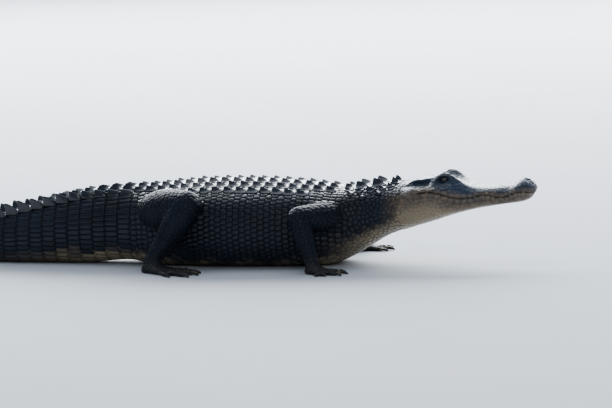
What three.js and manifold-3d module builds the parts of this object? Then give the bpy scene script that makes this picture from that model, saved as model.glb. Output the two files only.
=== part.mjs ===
// An American alligator, life size, lying on its belly with its head held level above the ground.
// Millimetres, +Z up, +X towards the snout, +Y towards the animal's left side.
// A station is a distance behind the tip of the snout, measured along the animal's midline.

import * as THREE from "three";
import { mergeVertices } from "three/addons/utils/BufferGeometryUtils.js";
import Module from "manifold-3d";

const wasm = await Module();
wasm.setup();

const { clamp, degToRad, lerp, smoothstep } = THREE.MathUtils;

// Driving dimensions
const totalLength = 2232;
const neckStart = 352;
const trunkStart = 507;
const ventStation = 1056;
const tailMiddleStart = 1420;
const tailTipStart = 1850;
const eyeRadius = 14.5;
const partingGap = 0.3;

// A smooth curve through [station, size] knots that never overshoots them.
function profile(knots) {
  const at = knots.map((knot) => knot[0]);
  const size = knots.map((knot) => knot[1]);
  const secant = at.slice(1).map((a, i) => (size[i + 1] - size[i]) / (a - at[i]));
  const slope = at.map((_, i) => {
    const before = secant[Math.max(i - 1, 0)];
    const after = secant[Math.min(i, secant.length - 1)];
    return before * after <= 0 ? 0 : (2 * before * after) / (before + after);
  });
  return (station) => {
    if (station <= at[0]) return size[0];
    if (station >= at[at.length - 1]) return size[size.length - 1];
    const i = at.findIndex((a) => a > station) - 1;
    const gap = at[i + 1] - at[i];
    const t = (station - at[i]) / gap;
    const rise = t * t * (3 - 2 * t);
    const startPull = t * (1 - t) * (1 - t) * gap;
    const endPull = t * t * (t - 1) * gap;
    return lerp(size[i], size[i + 1], rise) + startPull * slope[i] + endPull * slope[i + 1];
  };
}

// The midline in plan is straight down to the tail, which swings out to the left and back.
const tailBendStart = 1330;
const tailBend = degToRad(24);
const spineStep = 4;

function heading(station) {
  const t = clamp((station - tailBendStart) / (totalLength - tailBendStart), 0, 1);
  return tailBend * Math.sin(Math.PI * t ** 1.2);
}

const spine = [new THREE.Vector2(0, 0)];
while ((spine.length - 1) * spineStep < totalLength) {
  const turned = heading((spine.length - 0.5) * spineStep);
  const step = new THREE.Vector2(-Math.cos(turned), Math.sin(turned)).multiplyScalar(spineStep);
  spine.push(spine[spine.length - 1].clone().add(step));
}

// The point at a station, so far to the animal's left and so high above the ground.
function place(station, left, up) {
  const whole = clamp(Math.floor(station / spineStep), 0, spine.length - 2);
  const on = spine[whole].clone().lerp(spine[whole + 1], station / spineStep - whole);
  const turned = heading(station);
  return new THREE.Vector3(on.x + left * Math.sin(turned), on.y + left * Math.cos(turned), up);
}

// Neck, trunk and tail: sizes of the cross-section along the animal
const bodyTop = profile([
  [352, 210], [400, 206], [450, 201], [507, 198], [545, 202], [590, 207], [640, 212],
  [710, 216], [815, 217], [890, 214], [945, 209], [1000, 203], [1072, 199], [1170, 190],
  [1262, 171], [1354, 145], [1450, 121], [1600, 94], [1750, 74], [1900, 56], [2050, 37],
  [2180, 17], [2232, 6],
]);
const bodyBottom = profile([
  [352, 88], [400, 68], [450, 38], [507, 9], [545, -3], [1000, -3], [1080, 9], [1150, 4],
  [1215, -1.5], [2232, -1.5],
]);
const bodyMiddle = profile([
  [352, 150], [400, 136], [450, 114], [507, 99], [600, 92], [800, 92], [1000, 96],
  [1072, 98], [1150, 88], [1262, 76], [1354, 64], [1450, 54], [1600, 44], [1750, 35],
  [1900, 27], [2050, 18], [2180, 8], [2232, 2.5],
]);
const bodyHalfWidth = profile([
  [352, 103], [385, 99], [420, 99], [470, 107], [520, 121], [580, 140], [650, 152],
  [780, 158], [890, 150], [960, 133], [1020, 110], [1072, 93], [1150, 80], [1262, 62],
  [1354, 52], [1450, 43], [1600, 32], [1750, 24], [1900, 17], [2050, 11], [2180, 6],
  [2232, 2],
]);
const topFullness = profile([
  [352, 2.2], [560, 3.6], [950, 3.5], [1072, 2.7], [1150, 2.3], [2232, 2],
]);
const bottomFullness = profile([[352, 2.1], [560, 2.7], [1000, 2.7], [1200, 2.4], [2232, 2.2]]);
// How steeply the back falls away from the midline, like a low roof, before the flank turns down
const backFall = profile([[352, 0], [560, 0.15], [950, 0.17], [1072, 0.1], [1170, 0], [2232, 0]]);

// The skin's outline at a station, as a distance left and a height for each angle round it.
function bodySpot(station, angle, grow = 0) {
  const up = Math.sin(angle) > 0;
  const middle = bodyMiddle(station);
  const height = up ? bodyTop(station) - middle : middle - bodyBottom(station);
  const fullness = (up ? topFullness : bottomFullness)(station);
  const across = (Math.abs(Math.cos(angle)) / bodyHalfWidth(station)) ** fullness;
  const upright = (Math.abs(Math.sin(angle)) / height) ** fullness;
  const radius = (across + upright) ** (-1 / fullness) + grow;
  const spot = new THREE.Vector2(radius * Math.cos(angle), radius * Math.sin(angle));
  if (up) spot.y *= 1 - (backFall(station) * Math.abs(spot.x)) / height;
  return spot.setY(middle + spot.y);
}

// Closes a flat end: from its first corner where it has few, or else round its middle.
function cap(points, rim) {
  const few = 6;
  if (rim.length < few) {
    return rim.slice(2).flatMap((_, i) => [rim[0], rim[i + 1], rim[i + 2]]);
  }
  const middle = rim.reduce((sum, i) => sum.add(points[i]), new THREE.Vector3());
  points.push(middle.divideScalar(rim.length));
  return rim.flatMap((corner, i) => [corner, rim[(i + 1) % rim.length], points.length - 1]);
}

// Joins rings of equally many points into one closed surface.
function loft(rings) {
  const count = rings[0].length;
  const points = rings.flat();
  const faces = [];
  for (let ring = 0; ring + 1 < rings.length; ring += 1) {
    for (let i = 0; i < count; i += 1) {
      const a = ring * count + i;
      const b = ring * count + ((i + 1) % count);
      faces.push(a, b, a + count, b, b + count, a + count);
    }
  }
  for (const [first, turned] of [[0, true], [(rings.length - 1) * count, false]]) {
    const rim = Array.from({ length: count }, (_, i) => first + i);
    faces.push(...cap(points, turned ? rim.reverse() : rim));
  }
  const geometry = new THREE.BufferGeometry().setFromPoints(points);
  geometry.setIndex(faces);
  return geometry;
}

// A closed geometry as a solid that can be joined and cut, with its faces turned outwards.
function solid(geometry) {
  const bare = geometry.clone();
  bare.deleteAttribute("normal");
  bare.deleteAttribute("uv");
  const merged = mergeVertices(bare, 1e-4);
  const spots = merged.attributes.position;
  const corners = Array.from(merged.index.array);
  const [a, b, c] = [new THREE.Vector3(), new THREE.Vector3(), new THREE.Vector3()];
  let volume = 0;
  for (let i = 0; i < corners.length; i += 3) {
    a.fromBufferAttribute(spots, corners[i]);
    b.fromBufferAttribute(spots, corners[i + 1]);
    c.fromBufferAttribute(spots, corners[i + 2]);
    volume += a.dot(b.cross(c));
  }
  if (volume < 0) corners.reverse();
  const mesh = new wasm.Mesh({
    numProp: 3,
    vertProperties: new Float32Array(spots.array),
    triVerts: new Uint32Array(corners),
  });
  return new wasm.Manifold(mesh);
}

function join(solids) {
  return solids.reduce((sum, piece) => sum.add(piece));
}

// Everything above the ground, so that what rests on it rests on a small flat.
const groundSize = 6000;
const ground = solid(
  new THREE.BoxGeometry(groundSize, groundSize, groundSize).translate(0, 0, -groundSize / 2),
);

// An egg, with its three half-lengths, for the eyes and for cutting sockets and slits.
function egg(centre, halves, columns = 8, rows = 6) {
  const geometry = new THREE.SphereGeometry(1, columns, rows).scale(...halves);
  return solid(geometry.translate(centre.x, centre.y, centre.z));
}

// The body's skin between two stations, optionally a little fatter, to cut what grows from it.
function bodyLength(from, to, columns, spacing, grow = 0) {
  const steps = Math.max(1, Math.round((to - from) / spacing));
  const rings = [];
  for (let i = 0; i <= steps; i += 1) {
    const station = lerp(from, to, i / steps);
    const ring = [];
    for (let k = 0; k < columns; k += 1) {
      const spot = bodySpot(station, (k / columns) * 2 * Math.PI, grow);
      ring.push(place(station, spot.x, spot.y));
    }
    rings.push(ring);
  }
  return solid(loft(rings));
}

// Head: feature lines along it, each by its distance from the midline and its height
const crownHeight = profile([
  [0, 199], [5, 207], [13, 216], [22, 219.5], [30, 220.5], [40, 218.5], [52, 212], [64, 206],
  [80, 203.5], [110, 202.5], [143, 202.5], [165, 205], [180, 208.5], [195, 213.5], [210, 218.5],
  [230, 222], [250, 223], [270, 222], [300, 219], [325, 217], [338, 213.5], [352, 210],
]);
const ridgeOut = profile([
  [0, 6], [5, 12], [13, 18], [25, 23], [38, 25], [52, 27], [64, 31], [80, 36], [110, 41],
  [165, 43], [185, 42], [205, 40], [230, 38.5], [250, 40], [268, 45], [300, 51], [330, 55],
  [352, 58],
]);
const ridgeHeight = profile([
  [0, 198], [5, 204], [13, 211], [22, 215.5], [30, 217], [40, 214.5], [52, 208], [64, 202],
  [80, 199.5], [110, 198.5], [143, 199.5], [165, 203.5], [180, 211], [195, 221.5], [208, 231],
  [222, 237.5], [236, 238.5], [250, 233], [262, 227], [275, 223.5], [300, 221], [328, 218],
  [352, 208],
]);
const lipOut = profile([
  [0, 12], [4, 27], [12, 40], [25, 50], [40, 55], [52, 56], [64, 55.5], [80, 57], [95, 60.5],
  [115, 62.5], [143, 65], [165, 69], [195, 75.5], [230, 83], [265, 90], [300, 97],
  [335, 103.5], [352, 103],
]);
const mouthHeight = profile([
  [0, 190], [8, 184], [20, 186.5], [34, 187], [52, 183], [70, 176.5], [86, 173.8], [104, 176.5],
  [120, 180.5], [130, 181], [146, 178], [164, 173.6], [184, 172.8], [204, 175], [222, 180],
  [240, 185.5], [264, 190.5], [282, 190], [305, 185], [352, 172],
]);
const jawOut = profile([
  [8, 16], [14, 28], [25, 40], [40, 46], [64, 47], [95, 51], [143, 57], [195, 68], [230, 76],
  [265, 86], [300, 95], [335, 102], [352, 103],
]);
const chinHeight = profile([
  [8, 176], [14, 167], [25, 161], [40, 157], [80, 152], [140, 143], [200, 130], [260, 112],
  [300, 101], [330, 94], [352, 88],
]);
const lipOverhang = profile([[0, 3], [20, 4.5], [230, 4.5], [285, 0.2], [352, 0]]);
const jawStart = 8;
const headEndBlend = 302;
const eyeStation = 231;
const eyeReach = 45;

// How much of the section belongs to the eye's bulge, from 0 to 1.
function eyeShare(station) {
  const off = (station - eyeStation) / eyeReach;
  return Math.abs(off) < 1 ? (1 - off * off) ** 2 : 0;
}

// Half of the upper head's outline, from the crown to the lip, then in under the lip.
function upperOutline(station) {
  const eye = eyeShare(station);
  const table = smoothstep(station, 250, 275);
  const out = ridgeOut(station);
  const top = ridgeHeight(station);
  const lip = lipOut(station);
  const mouth = mouthHeight(station);
  const drop = top - mouth;
  const shaped = (snout, brow, skull) => lerp(lerp(snout, brow, eye), skull, table);
  return [
    [0, crownHeight(station)],
    [out * 0.5, lerp(crownHeight(station), top, 0.35) + 1.2 * (1 - eye)],
    [out, top],
    [shaped(lerp(out, lip, 0.42), out + 14, out + 4), shaped(top - 0.18 * drop, top - 9, top - 7)],
    [shaped(lerp(out, lip, 0.75), 60, out + 9), shaped(top - 0.4 * drop, 211, top - 13)],
    [shaped(lerp(out, lip, 0.95), 76, lip - 16), shaped(top - 0.62 * drop, 202, 202.5)],
    [lip + 1, shaped(mouth + 0.22 * drop, mouth + 13, lerp(mouth, 202.5, 0.4))],
    [lip - 0.5, mouth + 1.5],
  ];
}

// Half of the lower jaw's outline, from the lip to the middle of the chin.
function lowerOutline(station) {
  const overhang = lipOverhang(station);
  const mouth = mouthHeight(station);
  const lip = lipOut(station) - 0.5 - overhang;
  const side = Math.min(jawOut(station), lip + 1);
  const chin = chinHeight(station);
  return [
    [lip, mouth - 1.5],
    [lerp(lip, side, 0.6) - 0.2, lerp(mouth, chin, 0.22)],
    [side, lerp(mouth, chin, 0.5)],
    [side * 0.86, lerp(mouth, chin, 0.82)],
    [side * 0.5, chin + 1],
    [0, chin],
  ];
}

// Angles round the body's outline that the head's feature lines run into behind the skull.
const upperEndAngles = [90, 69, 54, 46, 38, 30, 21, 12.8].map(degToRad);
const lowerEndAngles = [12.4, 3, -8, -27, -52, -90].map(degToRad);

function intoNeck(outline, station, endAngles) {
  const share = smoothstep(station, headEndBlend, neckStart);
  return outline.map(([left, up], i) => {
    const end = bodySpot(neckStart, endAngles[i]);
    return new THREE.Vector2(lerp(left, Math.abs(end.x), share), lerp(up, end.y, share));
  });
}

// Where the upper head and the lower jaw part, at the mouth line and behind its corner.
function partingHeight(station) {
  const share = smoothstep(station, headEndBlend, neckStart);
  return lerp(mouthHeight(station), bodySpot(neckStart, degToRad(12.6)).y, share);
}

// A whole ring from a half outline: smooth over the outside, then straight across the mouth.
function headRing(station, outline, mouthOut, mouthUp, fineness) {
  const mirrored = outline.map((p) => new THREE.Vector2(-p.x, p.y));
  const whole = [...outline.slice(1).reverse(), ...mirrored];
  const curve = new THREE.SplineCurve(whole);
  const ring = curve.getPoints((whole.length - 1) * fineness);
  ring.unshift(new THREE.Vector2(mouthOut, mouthUp));
  ring.push(new THREE.Vector2(-mouthOut, mouthUp));
  return ring.map((p) => place(station, p.x, p.y));
}

const headStations = [
  0, 3, 8, 15, 23, 31, 39, 48, 58, 72, 90, 110, 130, 150, 168, 182, 194, 205, 217, 231, 245, 258,
  272, 290, 308, 322, 334, neckStart,
];

function upperSkull() {
  const rings = headStations.map((station) => {
    const outline = intoNeck(upperOutline(station), station, upperEndAngles);
    const mouthOut = Math.max(outline[outline.length - 1].x - lipOverhang(station) - 1, 2);
    return headRing(station, outline, mouthOut, partingHeight(station) + partingGap / 2, 2);
  });
  return solid(loft(rings));
}

function lowerJaw() {
  const stations = headStations.filter((station) => station >= jawStart);
  const rings = stations.map((station) => {
    const outline = intoNeck(lowerOutline(station), station, lowerEndAngles);
    const mouthOut = Math.max(outline[0].x - 1, 1);
    const fromChin = outline.slice().reverse();
    return headRing(station, fromChin, mouthOut, partingHeight(station) - partingGap / 2, 1);
  });
  return solid(loft(rings));
}

// The eye sits deep under the brow, behind a slit between the lids.
const eyeOut = 41;
const eyeUp = 221.5;
const eyeSlit = { out: 58, up: 221, halves: [12, 9, 6.5] };
const nostril = { station: 22, out: 11, up: 220.5, halves: [6, 4, 6] };
const earSlit = { station: 288, out: 56, up: 213, halves: [26, 5, 1.8] };

function eyeBall(side, radius = eyeRadius) {
  return egg(place(eyeStation, side * eyeOut, eyeUp), [radius, radius, radius], 10, 8);
}

function headOpenings(side) {
  const socket = eyeBall(side, eyeRadius + partingGap);
  const slits = [eyeSlit, nostril, earSlit].map((slit) => {
    return egg(place(slit.station ?? eyeStation, side * slit.out, slit.up), slit.halves);
  });
  return join([socket, ...slits]);
}

// Tips of the upper teeth, which hang outside the lower jaw when the mouth is shut
const toothStations = [44, 66, 90, 128, 170];
const toothRadius = 1.8;
const toothLength = 7.5;

function tooth(station, side) {
  const cone = new THREE.ConeGeometry(toothRadius, toothLength, 5).rotateX(Math.PI);
  cone.rotateX(-Math.PI / 2);
  const root = place(station, side * (lipOut(station) - 2.8), mouthHeight(station));
  return solid(cone.translate(root.x, root.y, root.z));
}

function head() {
  const openings = join([headOpenings(1), headOpenings(-1)]);
  const teeth = toothStations.flatMap((station) => [tooth(station, 1), tooth(station, -1)]);
  return join([upperSkull().subtract(openings), ...teeth]);
}

// A seeded draw between 0 and 1, so that the plates vary as real ones do but never change.
let seed = 20;
function draw() {
  seed = (seed * 1664525 + 1013904223) % 4294967296;
  return seed / 4294967296;
}

// Where a plate sits: a point on the skin, so far round from the midline, and the way it faces.
const seatReach = 8;

function skinSeat(station, round) {
  const side = Math.sign(round) || 1;
  const angleStep = degToRad(2);
  let angle = Math.PI / 2;
  let spot = bodySpot(station, angle);
  let travelled = 0;
  while (travelled < Math.abs(round)) {
    angle -= angleStep;
    const next = bodySpot(station, angle);
    travelled += next.distanceTo(spot);
    spot = next;
  }
  const inner = bodySpot(station, angle + angleStep);
  const ahead = bodySpot(station - seatReach, angle);
  const point = place(station, side * spot.x, spot.y);
  const left = place(station, side * inner.x, inner.y).sub(point).multiplyScalar(-side).normalize();
  const forward = place(station - seatReach, side * ahead.x, ahead.y).sub(point);
  forward.addScaledVector(left, -forward.dot(left)).normalize();
  return { point, forward, left, up: forward.clone().cross(left) };
}

// A plate with a keel that rises to the rear. Its root goes down into the flesh. One with no rim
// is a fin.
function plate(seat, { length, width, rim, keel, root = 6, lean = 0 }) {
  const up = seat.up.clone().lerp(new THREE.Vector3(0, 0, 1), lean);
  up.addScaledVector(seat.forward, -up.dot(seat.forward)).normalize();
  const left = up.clone().cross(seat.forward);
  const sections = [
    { ahead: 0.5, broad: 0.78, edge: 0.5, crest: rim ? 0.15 : 0.5 },
    { ahead: -0.36, broad: 1, edge: 1, crest: 1 },
    { ahead: -0.5, broad: 0.8, edge: 0.5, crest: 0.4 },
  ];
  const rings = sections.map(({ ahead, broad, edge, crest }) => {
    const half = (width / 2) * broad;
    const middle = seat.point.clone().addScaledVector(seat.forward, ahead * length);
    const corner = (out, high) => middle.clone().addScaledVector(left, out).addScaledVector(up, high);
    const rimOut = half * 0.93;
    const sides = rim ? [corner(-rimOut, rim * edge), corner(rimOut, rim * edge)] : [];
    const peak = corner(0, rim * edge + keel * crest);
    return [corner(-half, -root), ...sides.slice(0, 1), peak, ...sides.slice(1), corner(half, -root)];
  });
  return solid(loft(rings));
}

// The shield on the back: cross rows of plates, each as many to a side as its row holds
const rowPitch = 38.8;
const firstRow = 529;
const platesPerSide = [2, 2, 3, 3, 3, 3, 3, 3, 3, 2, 2, 2, 2, 2];
const plateWidth = 38;
const plateRim = 3;
const innerKeel = 9.5;
const outerKeel = 7;
const plateGap = { ahead: 1.5, aside: 1 };
const wideTrunk = 150;

function backShield() {
  const shieldHalf = Math.max(...platesPerSide) * plateWidth;
  return platesPerSide.flatMap((count, row) => {
    const station = firstRow + row * rowPitch;
    const broad = plateWidth * Math.min(bodyHalfWidth(station) / wideTrunk, 1);
    const rounds = Array.from({ length: count }, (_, i) => (i + 0.5) * broad);
    return rounds.flatMap((round) => [round, -round]).map((round) => {
      const outer = Math.abs(round) / shieldHalf;
      const size = lerp(0.95, 1.03, draw()) * lerp(1, 0.86, outer);
      const seat = skinSeat(station + lerp(-1, 1, draw()), round);
      const keel = lerp(innerKeel, outerKeel, outer) * lerp(0.9, 1.1, draw());
      const length = (rowPitch - plateGap.ahead) * size;
      return plate(seat, { length, width: (broad - plateGap.aside) * size, rim: plateRim, keel });
    });
  });
}

// Nape plates: distance behind the snout, distance round from the midline and size
const napePlates = [
  { station: 364, round: 19, length: 22, width: 22, keel: 15 },
  { station: 372, round: 47, length: 16, width: 17, keel: 8 },
  { station: 406, round: 24, length: 40, width: 38, keel: 18 },
  { station: 420, round: 58, length: 28, width: 26, keel: 11 },
  { station: 450, round: 24, length: 40, width: 36, keel: 15 },
  { station: 486, round: 18, length: 24, width: 26, keel: 10 },
];
const napeRim = 4;
const napeRoot = 8;

function napeShield() {
  return napePlates.flatMap(({ station, round, ...size }) => {
    return [1, -1].map((side) => {
      const seat = skinSeat(station, side * round);
      return plate(seat, { ...size, rim: napeRim, root: napeRoot });
    });
  });
}

// Crest of the tail: two rows of upright fins that draw together into one
const crestOut = profile([[1080, 50], [1170, 42], [1262, 34], [1420, 21], [1600, 10], [1740, 0]]);
const crestHeight = profile([
  [1080, 11], [1170, 17], [1262, 24], [1354, 30], [1500, 34], [1720, 37], [1900, 33], [2050, 24],
  [2180, 13], [2232, 8],
]);
const crestPitch = profile([[1080, 37], [1420, 37], [1900, 32], [2232, 26]]);
const crestMerge = 1735;
const crestStart = 1075;
const crestEnd = totalLength - 22;
const finWidth = { base: 26.4, far: 10.8, single: 8.4 };
const finLean = 0.45;

// Between its two rows of fins the tail's base goes on with a pair of plates in each cross row.
const midPlates = { end: 1270, round: 15, width: 27, keel: 8.5 };
const wideTailBase = 85;

function tailCrest(from, to) {
  const fins = [];
  for (let station = crestStart; station < crestEnd; station += crestPitch(station)) {
    const pitch = crestPitch(station);
    if (station - pitch / 2 < from || station + pitch / 2 > to) continue;
    const sides = station < crestMerge ? [1, -1] : [0];
    const keel = crestHeight(station);
    for (const side of sides) {
      const seat = skinSeat(station, side * crestOut(station));
      const paired = lerp(finWidth.base, finWidth.far, smoothstep(station, 1080, 1420));
      const width = side === 0 ? finWidth.single : paired;
      const vary = lerp(0.92, 1.06, draw());
      const size = { length: pitch * 0.95, width, rim: 0, keel: keel * vary };
      fins.push(plate(seat, { ...size, lean: finLean }));
    }
    if (station < midPlates.end) {
      for (const side of [-1, 1]) {
        const scaled = bodyHalfWidth(station) / wideTailBase;
        const seat = skinSeat(station, side * midPlates.round * scaled);
        const { width, keel: rise } = midPlates;
        const size = { length: pitch * 0.93, width: width * scaled, rim: plateRim, keel: rise };
        fins.push(plate(seat, size));
      }
    }
  }
  return fins;
}

// The body's lengths: where each starts and ends, and how finely its skin is divided
const bodyLengths = {
  neck: { from: neckStart, to: trunkStart, columns: 20, spacing: 22 },
  torso: { from: trunkStart, to: ventStation, columns: 24, spacing: 47 },
  tail_base: { from: ventStation, to: tailMiddleStart, columns: 18, spacing: 40 },
  tail_middle: { from: tailMiddleStart, to: tailTipStart, columns: 14, spacing: 43 },
  tail_tip: { from: tailTipStart, to: totalLength, columns: 10, spacing: 38 },
};

function fleshAndPlates({ from, to, columns, spacing }, plates) {
  const flesh = bodyLength(from + partingGap, to, columns, spacing);
  return join([flesh, ...plates]).subtract(ground);
}

// The body that the legs grow from, a little fatter, so that they stop just short of it.
function legCutter() {
  const { neck, torso, tail_base: rump } = bodyLengths;
  return join([neck, torso, rump].map(({ from, to, columns, spacing }) => {
    return bodyLength(from, to, columns, spacing, partingGap);
  }));
}

// A stretch of limb between two joints, round at both ends, with its radii evenly spaced.
function stretch(from, to, radii, columns = 10) {
  const axis = to.clone().sub(from).normalize();
  const side = new THREE.Vector3(0, 0, 1).cross(axis).normalize();
  const over = axis.clone().cross(side);
  const length = to.distanceTo(from);
  const last = radii.length - 1;
  const girth = radii.map((radius, i) => [(i / last) * length, radius]);
  const roundReach = 0.72;
  const roundShare = 0.7;
  const knots = [
    [-roundReach * radii[0], roundShare * radii[0]],
    ...girth,
    [length + roundReach * radii[last], roundShare * radii[last]],
  ];
  const rings = knots.map(([along, radius]) => {
    return Array.from({ length: columns }, (_, i) => {
      const angle = (i / columns) * 2 * Math.PI;
      const centre = from.clone().addScaledVector(axis, along);
      centre.addScaledVector(side, radius * Math.cos(angle));
      return centre.addScaledVector(over, radius * Math.sin(angle));
    });
  });
  return solid(loft(rings));
}

// Feet: sections of the sole by how far ahead of the ankle, half-width and height, and digits by
// where they leave it, the way they turn, their length and thickness, and their claw's length
const handShape = {
  height: 31,
  sole: [[-20, 12, 10], [-8, 20, 27], [12, 25, 26], [36, 24, 13]],
  root: 24,
  digits: [
    { aside: -17, angle: -46, length: 44, radius: 7.5, claw: 13 },
    { aside: -10, angle: -20, length: 56, radius: 8, claw: 14 },
    { aside: 0, angle: 2, length: 60, radius: 8, claw: 13 },
    { aside: 9, angle: 25, length: 52, radius: 7, claw: 0 },
    { aside: 16, angle: 50, length: 40, radius: 6.5, claw: 0 },
  ],
  web: 0,
};
const footShape = {
  height: 37,
  sole: [[-30, 12, 10], [-16, 21, 26], [6, 25, 31], [36, 29, 20], [62, 25, 11]],
  root: 44,
  digits: [
    { aside: -20, angle: -19, length: 72, radius: 9, claw: 17 },
    { aside: -7, angle: -5, length: 90, radius: 9.5, claw: 17 },
    { aside: 7, angle: 8, length: 94, radius: 9, claw: 16 },
    { aside: 20, angle: 23, length: 78, radius: 7, claw: 0 },
  ],
  web: 0.68,
};
const webThickness = 5;

// A point beside an ankle, along and across the way the foot points, so high above the ground.
function footSpot(ankle, facing, ahead, aside, up) {
  const x = ankle.x + ahead * Math.cos(facing) - aside * Math.sin(facing);
  return new THREE.Vector3(x, ankle.y + ahead * Math.sin(facing) + aside * Math.cos(facing), up);
}

// Lofts a piece of a foot from sections: ahead, half-width, height of the middle, half-height.
function footPiece(ankle, facing, sections, columns) {
  const rings = sections.map(([ahead, half, middle, high]) => {
    return Array.from({ length: columns }, (_, i) => {
      const angle = ((i + 0.5) / columns) * 2 * Math.PI;
      const up = middle + high * Math.sin(angle);
      return footSpot(ankle, facing, ahead, half * Math.cos(angle), up);
    });
  });
  return solid(loft(rings));
}

// A digit lies on the ground, and its claw curves down from its end.
function digit(root, facing, { length, radius, claw }) {
  const shape = [[0, 1], [0.62, 0.92], [1, 0.5]];
  const sections = shape.map(([along, share]) => {
    const thick = radius * share;
    return [along * length, thick, thick * 0.86, thick];
  });
  const toe = footPiece(root, facing, sections, 6);
  if (!claw) return toe;
  const curve = [[-0.35, 0.66, 0.42], [0.45, 0.6, 0.34], [1, 0.2, 0.08]];
  const horn = curve.map(([along, middle, share]) => {
    return [length + along * claw, radius * share * 0.8, radius * middle + 0.6, radius * share];
  });
  return toe.add(footPiece(root, facing, horn, 5));
}

// The skin between two digits, out to a share of their length
function web(ankle, facing, root, pair, share) {
  const onDigit = ({ aside, angle, length }, reach) => {
    const turned = degToRad(angle);
    const ahead = root + reach * length * Math.cos(turned);
    return footSpot(ankle, facing, ahead, aside + reach * length * Math.sin(turned), 0);
  };
  const [a, b] = pair;
  const notch = onDigit(a, share * 0.8).lerp(onDigit(b, share * 0.8), 0.5);
  const outline = [onDigit(a, -0.1), onDigit(a, share), notch, onDigit(b, share), onDigit(b, -0.1)];
  const shape = new THREE.Shape(outline.map((p) => new THREE.Vector2(p.x, p.y)));
  const sheet = new THREE.ExtrudeGeometry(shape, { depth: webThickness, bevelEnabled: false });
  return solid(sheet.translate(0, 0, 1));
}

function foot(ankle, facing, { sole, root, digits, web: share }) {
  const sinks = 1.5;
  const underfoot = sole.map(([ahead, half, high]) => [ahead, half, high / 2 - sinks, high / 2]);
  const toes = digits.map((toe) => {
    const from = footSpot(ankle, facing, root, toe.aside, 0);
    return digit(from, facing + degToRad(toe.angle), toe);
  });
  const webbed = share ? digits.slice(1) : [];
  const webs = webbed.map((toe, i) => web(ankle, facing, root, [digits[i], toe], share));
  return join([footPiece(ankle, facing, underfoot, 8), ...toes, ...webs]);
}

// A leg is made whole, as a left one, and turned over for the right side. It is then cut clear of
// the body and the ground, and parted at the knee or elbow and at the ankle.
function leg({ hip, knee, ankle, turn, upper, lower, shape }, right) {
  const [top, bend, bottom] = [hip, knee, ankle].map((spot) => place(...spot));
  const footing = foot(bottom, degToRad(turn), shape);
  const made = join([stretch(top, bend, upper), stretch(bend, bottom, lower), footing]);
  const whole = right ? made.mirror([0, 1, 0]) : made;
  const out = bend.clone().sub(top).normalize();
  const down = bottom.clone().sub(bend).normalize();
  const across = out.add(down).normalize();
  const at = across.dot(bend);
  if (right) across.y = -across.y;
  const clear = whole.subtract(ground).subtract(legCutter());
  const half = partingGap / 2;
  const fromAcross = [across.x, across.y, across.z];
  const toAcross = [-across.x, -across.y, -across.z];
  const below = clear.trimByPlane([0, 0, -1], -shape.height + half);
  const above = clear.trimByPlane([0, 0, 1], shape.height + half);
  return {
    upper: above.trimByPlane(toAcross, -at + half),
    lower: above.trimByPlane(fromAcross, at + half),
    foot: below,
  };
}

const frontRadii = { upper: [40, 38, 33, 28], lower: [28, 27, 22, 18] };
const hindRadii = { upper: [44, 55, 52, 41], lower: [40, 38, 28, 21] };
const legs = {
  front_left: {
    hip: [518, 92, 130], knee: [600, 188, 128], ankle: [530, 222, 24], turn: 30,
    ...frontRadii, shape: handShape,
  },
  front_right: {
    hip: [518, 92, 130], knee: [582, 190, 141], ankle: [540, 216, 24], turn: 25,
    ...frontRadii, shape: handShape,
  },
  hind_left: {
    hip: [1008, 72, 136], knee: [892, 172, 158], ankle: [1000, 202, 30], turn: 40,
    ...hindRadii, shape: footShape,
  },
  hind_right: {
    hip: [1008, 72, 138], knee: [879, 165, 167], ankle: [968, 205, 30], turn: 28,
    ...hindRadii, shape: footShape,
  },
};

// A solid as a mesh. Only its largest closed surface is kept.
function meshOf(name, shape, material) {
  const bodies = shape.decompose().sort((a, b) => b.volume() - a.volume());
  const { vertProperties, triVerts, numProp } = bodies[0].getMesh();
  if (numProp !== 3) throw new Error(name + " has more than positions");
  const geometry = new THREE.BufferGeometry();
  geometry.setAttribute("position", new THREE.BufferAttribute(vertProperties.slice(), 3));
  geometry.setIndex(new THREE.BufferAttribute(triVerts.slice(), 1));
  geometry.computeVertexNormals();
  const mesh = new THREE.Mesh(geometry, material);
  mesh.name = name;
  return mesh;
}

function skinMaterial(colour) {
  return new THREE.MeshStandardMaterial({ color: colour, roughness: 0.35, metalness: 0 });
}

const animal = new THREE.Group();
const back = 0x2a3038;
const side = 0x343c48;
const jawSide = 0x5f5b54;

animal.add(meshOf("head", head(), skinMaterial(0x444a52)));
animal.add(meshOf("lower_jaw", lowerJaw(), skinMaterial(jawSide)));
for (const [name, way] of [["eye_left", 1], ["eye_right", -1]]) {
  animal.add(meshOf(name, eyeBall(way), skinMaterial(0x8c8a62)));
}

const platesOf = {
  neck: napeShield,
  torso: backShield,
  tail_base: () => tailCrest(ventStation, tailMiddleStart),
  tail_middle: () => tailCrest(tailMiddleStart, tailTipStart),
  tail_tip: () => tailCrest(tailTipStart, totalLength),
};
for (const [name, size] of Object.entries(bodyLengths)) {
  const shape = fleshAndPlates(size, platesOf[name]());
  animal.add(meshOf(name, shape, skinMaterial(back)));
}

const partNames = {
  front: ["upper_arm", "forearm", "hand"],
  hind: ["thigh", "shank", "foot"],
};
for (const [name, sizes] of Object.entries(legs)) {
  const [end, way] = name.split("_");
  const pieces = Object.values(leg(sizes, way === "right"));
  pieces.forEach((piece, i) => {
    animal.add(meshOf(partNames[end][i] + "_" + way, piece, skinMaterial(side)));
  });
}

// The origin is on the ground, under the middle of the whole animal.
const reach = new THREE.Box3().setFromObject(animal);
const centre = reach.getCenter(new THREE.Vector3());
animal.position.set(-centre.x, -centre.y, -reach.min.z);
const alligator = new THREE.Group().add(animal);

export default alligator;
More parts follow.
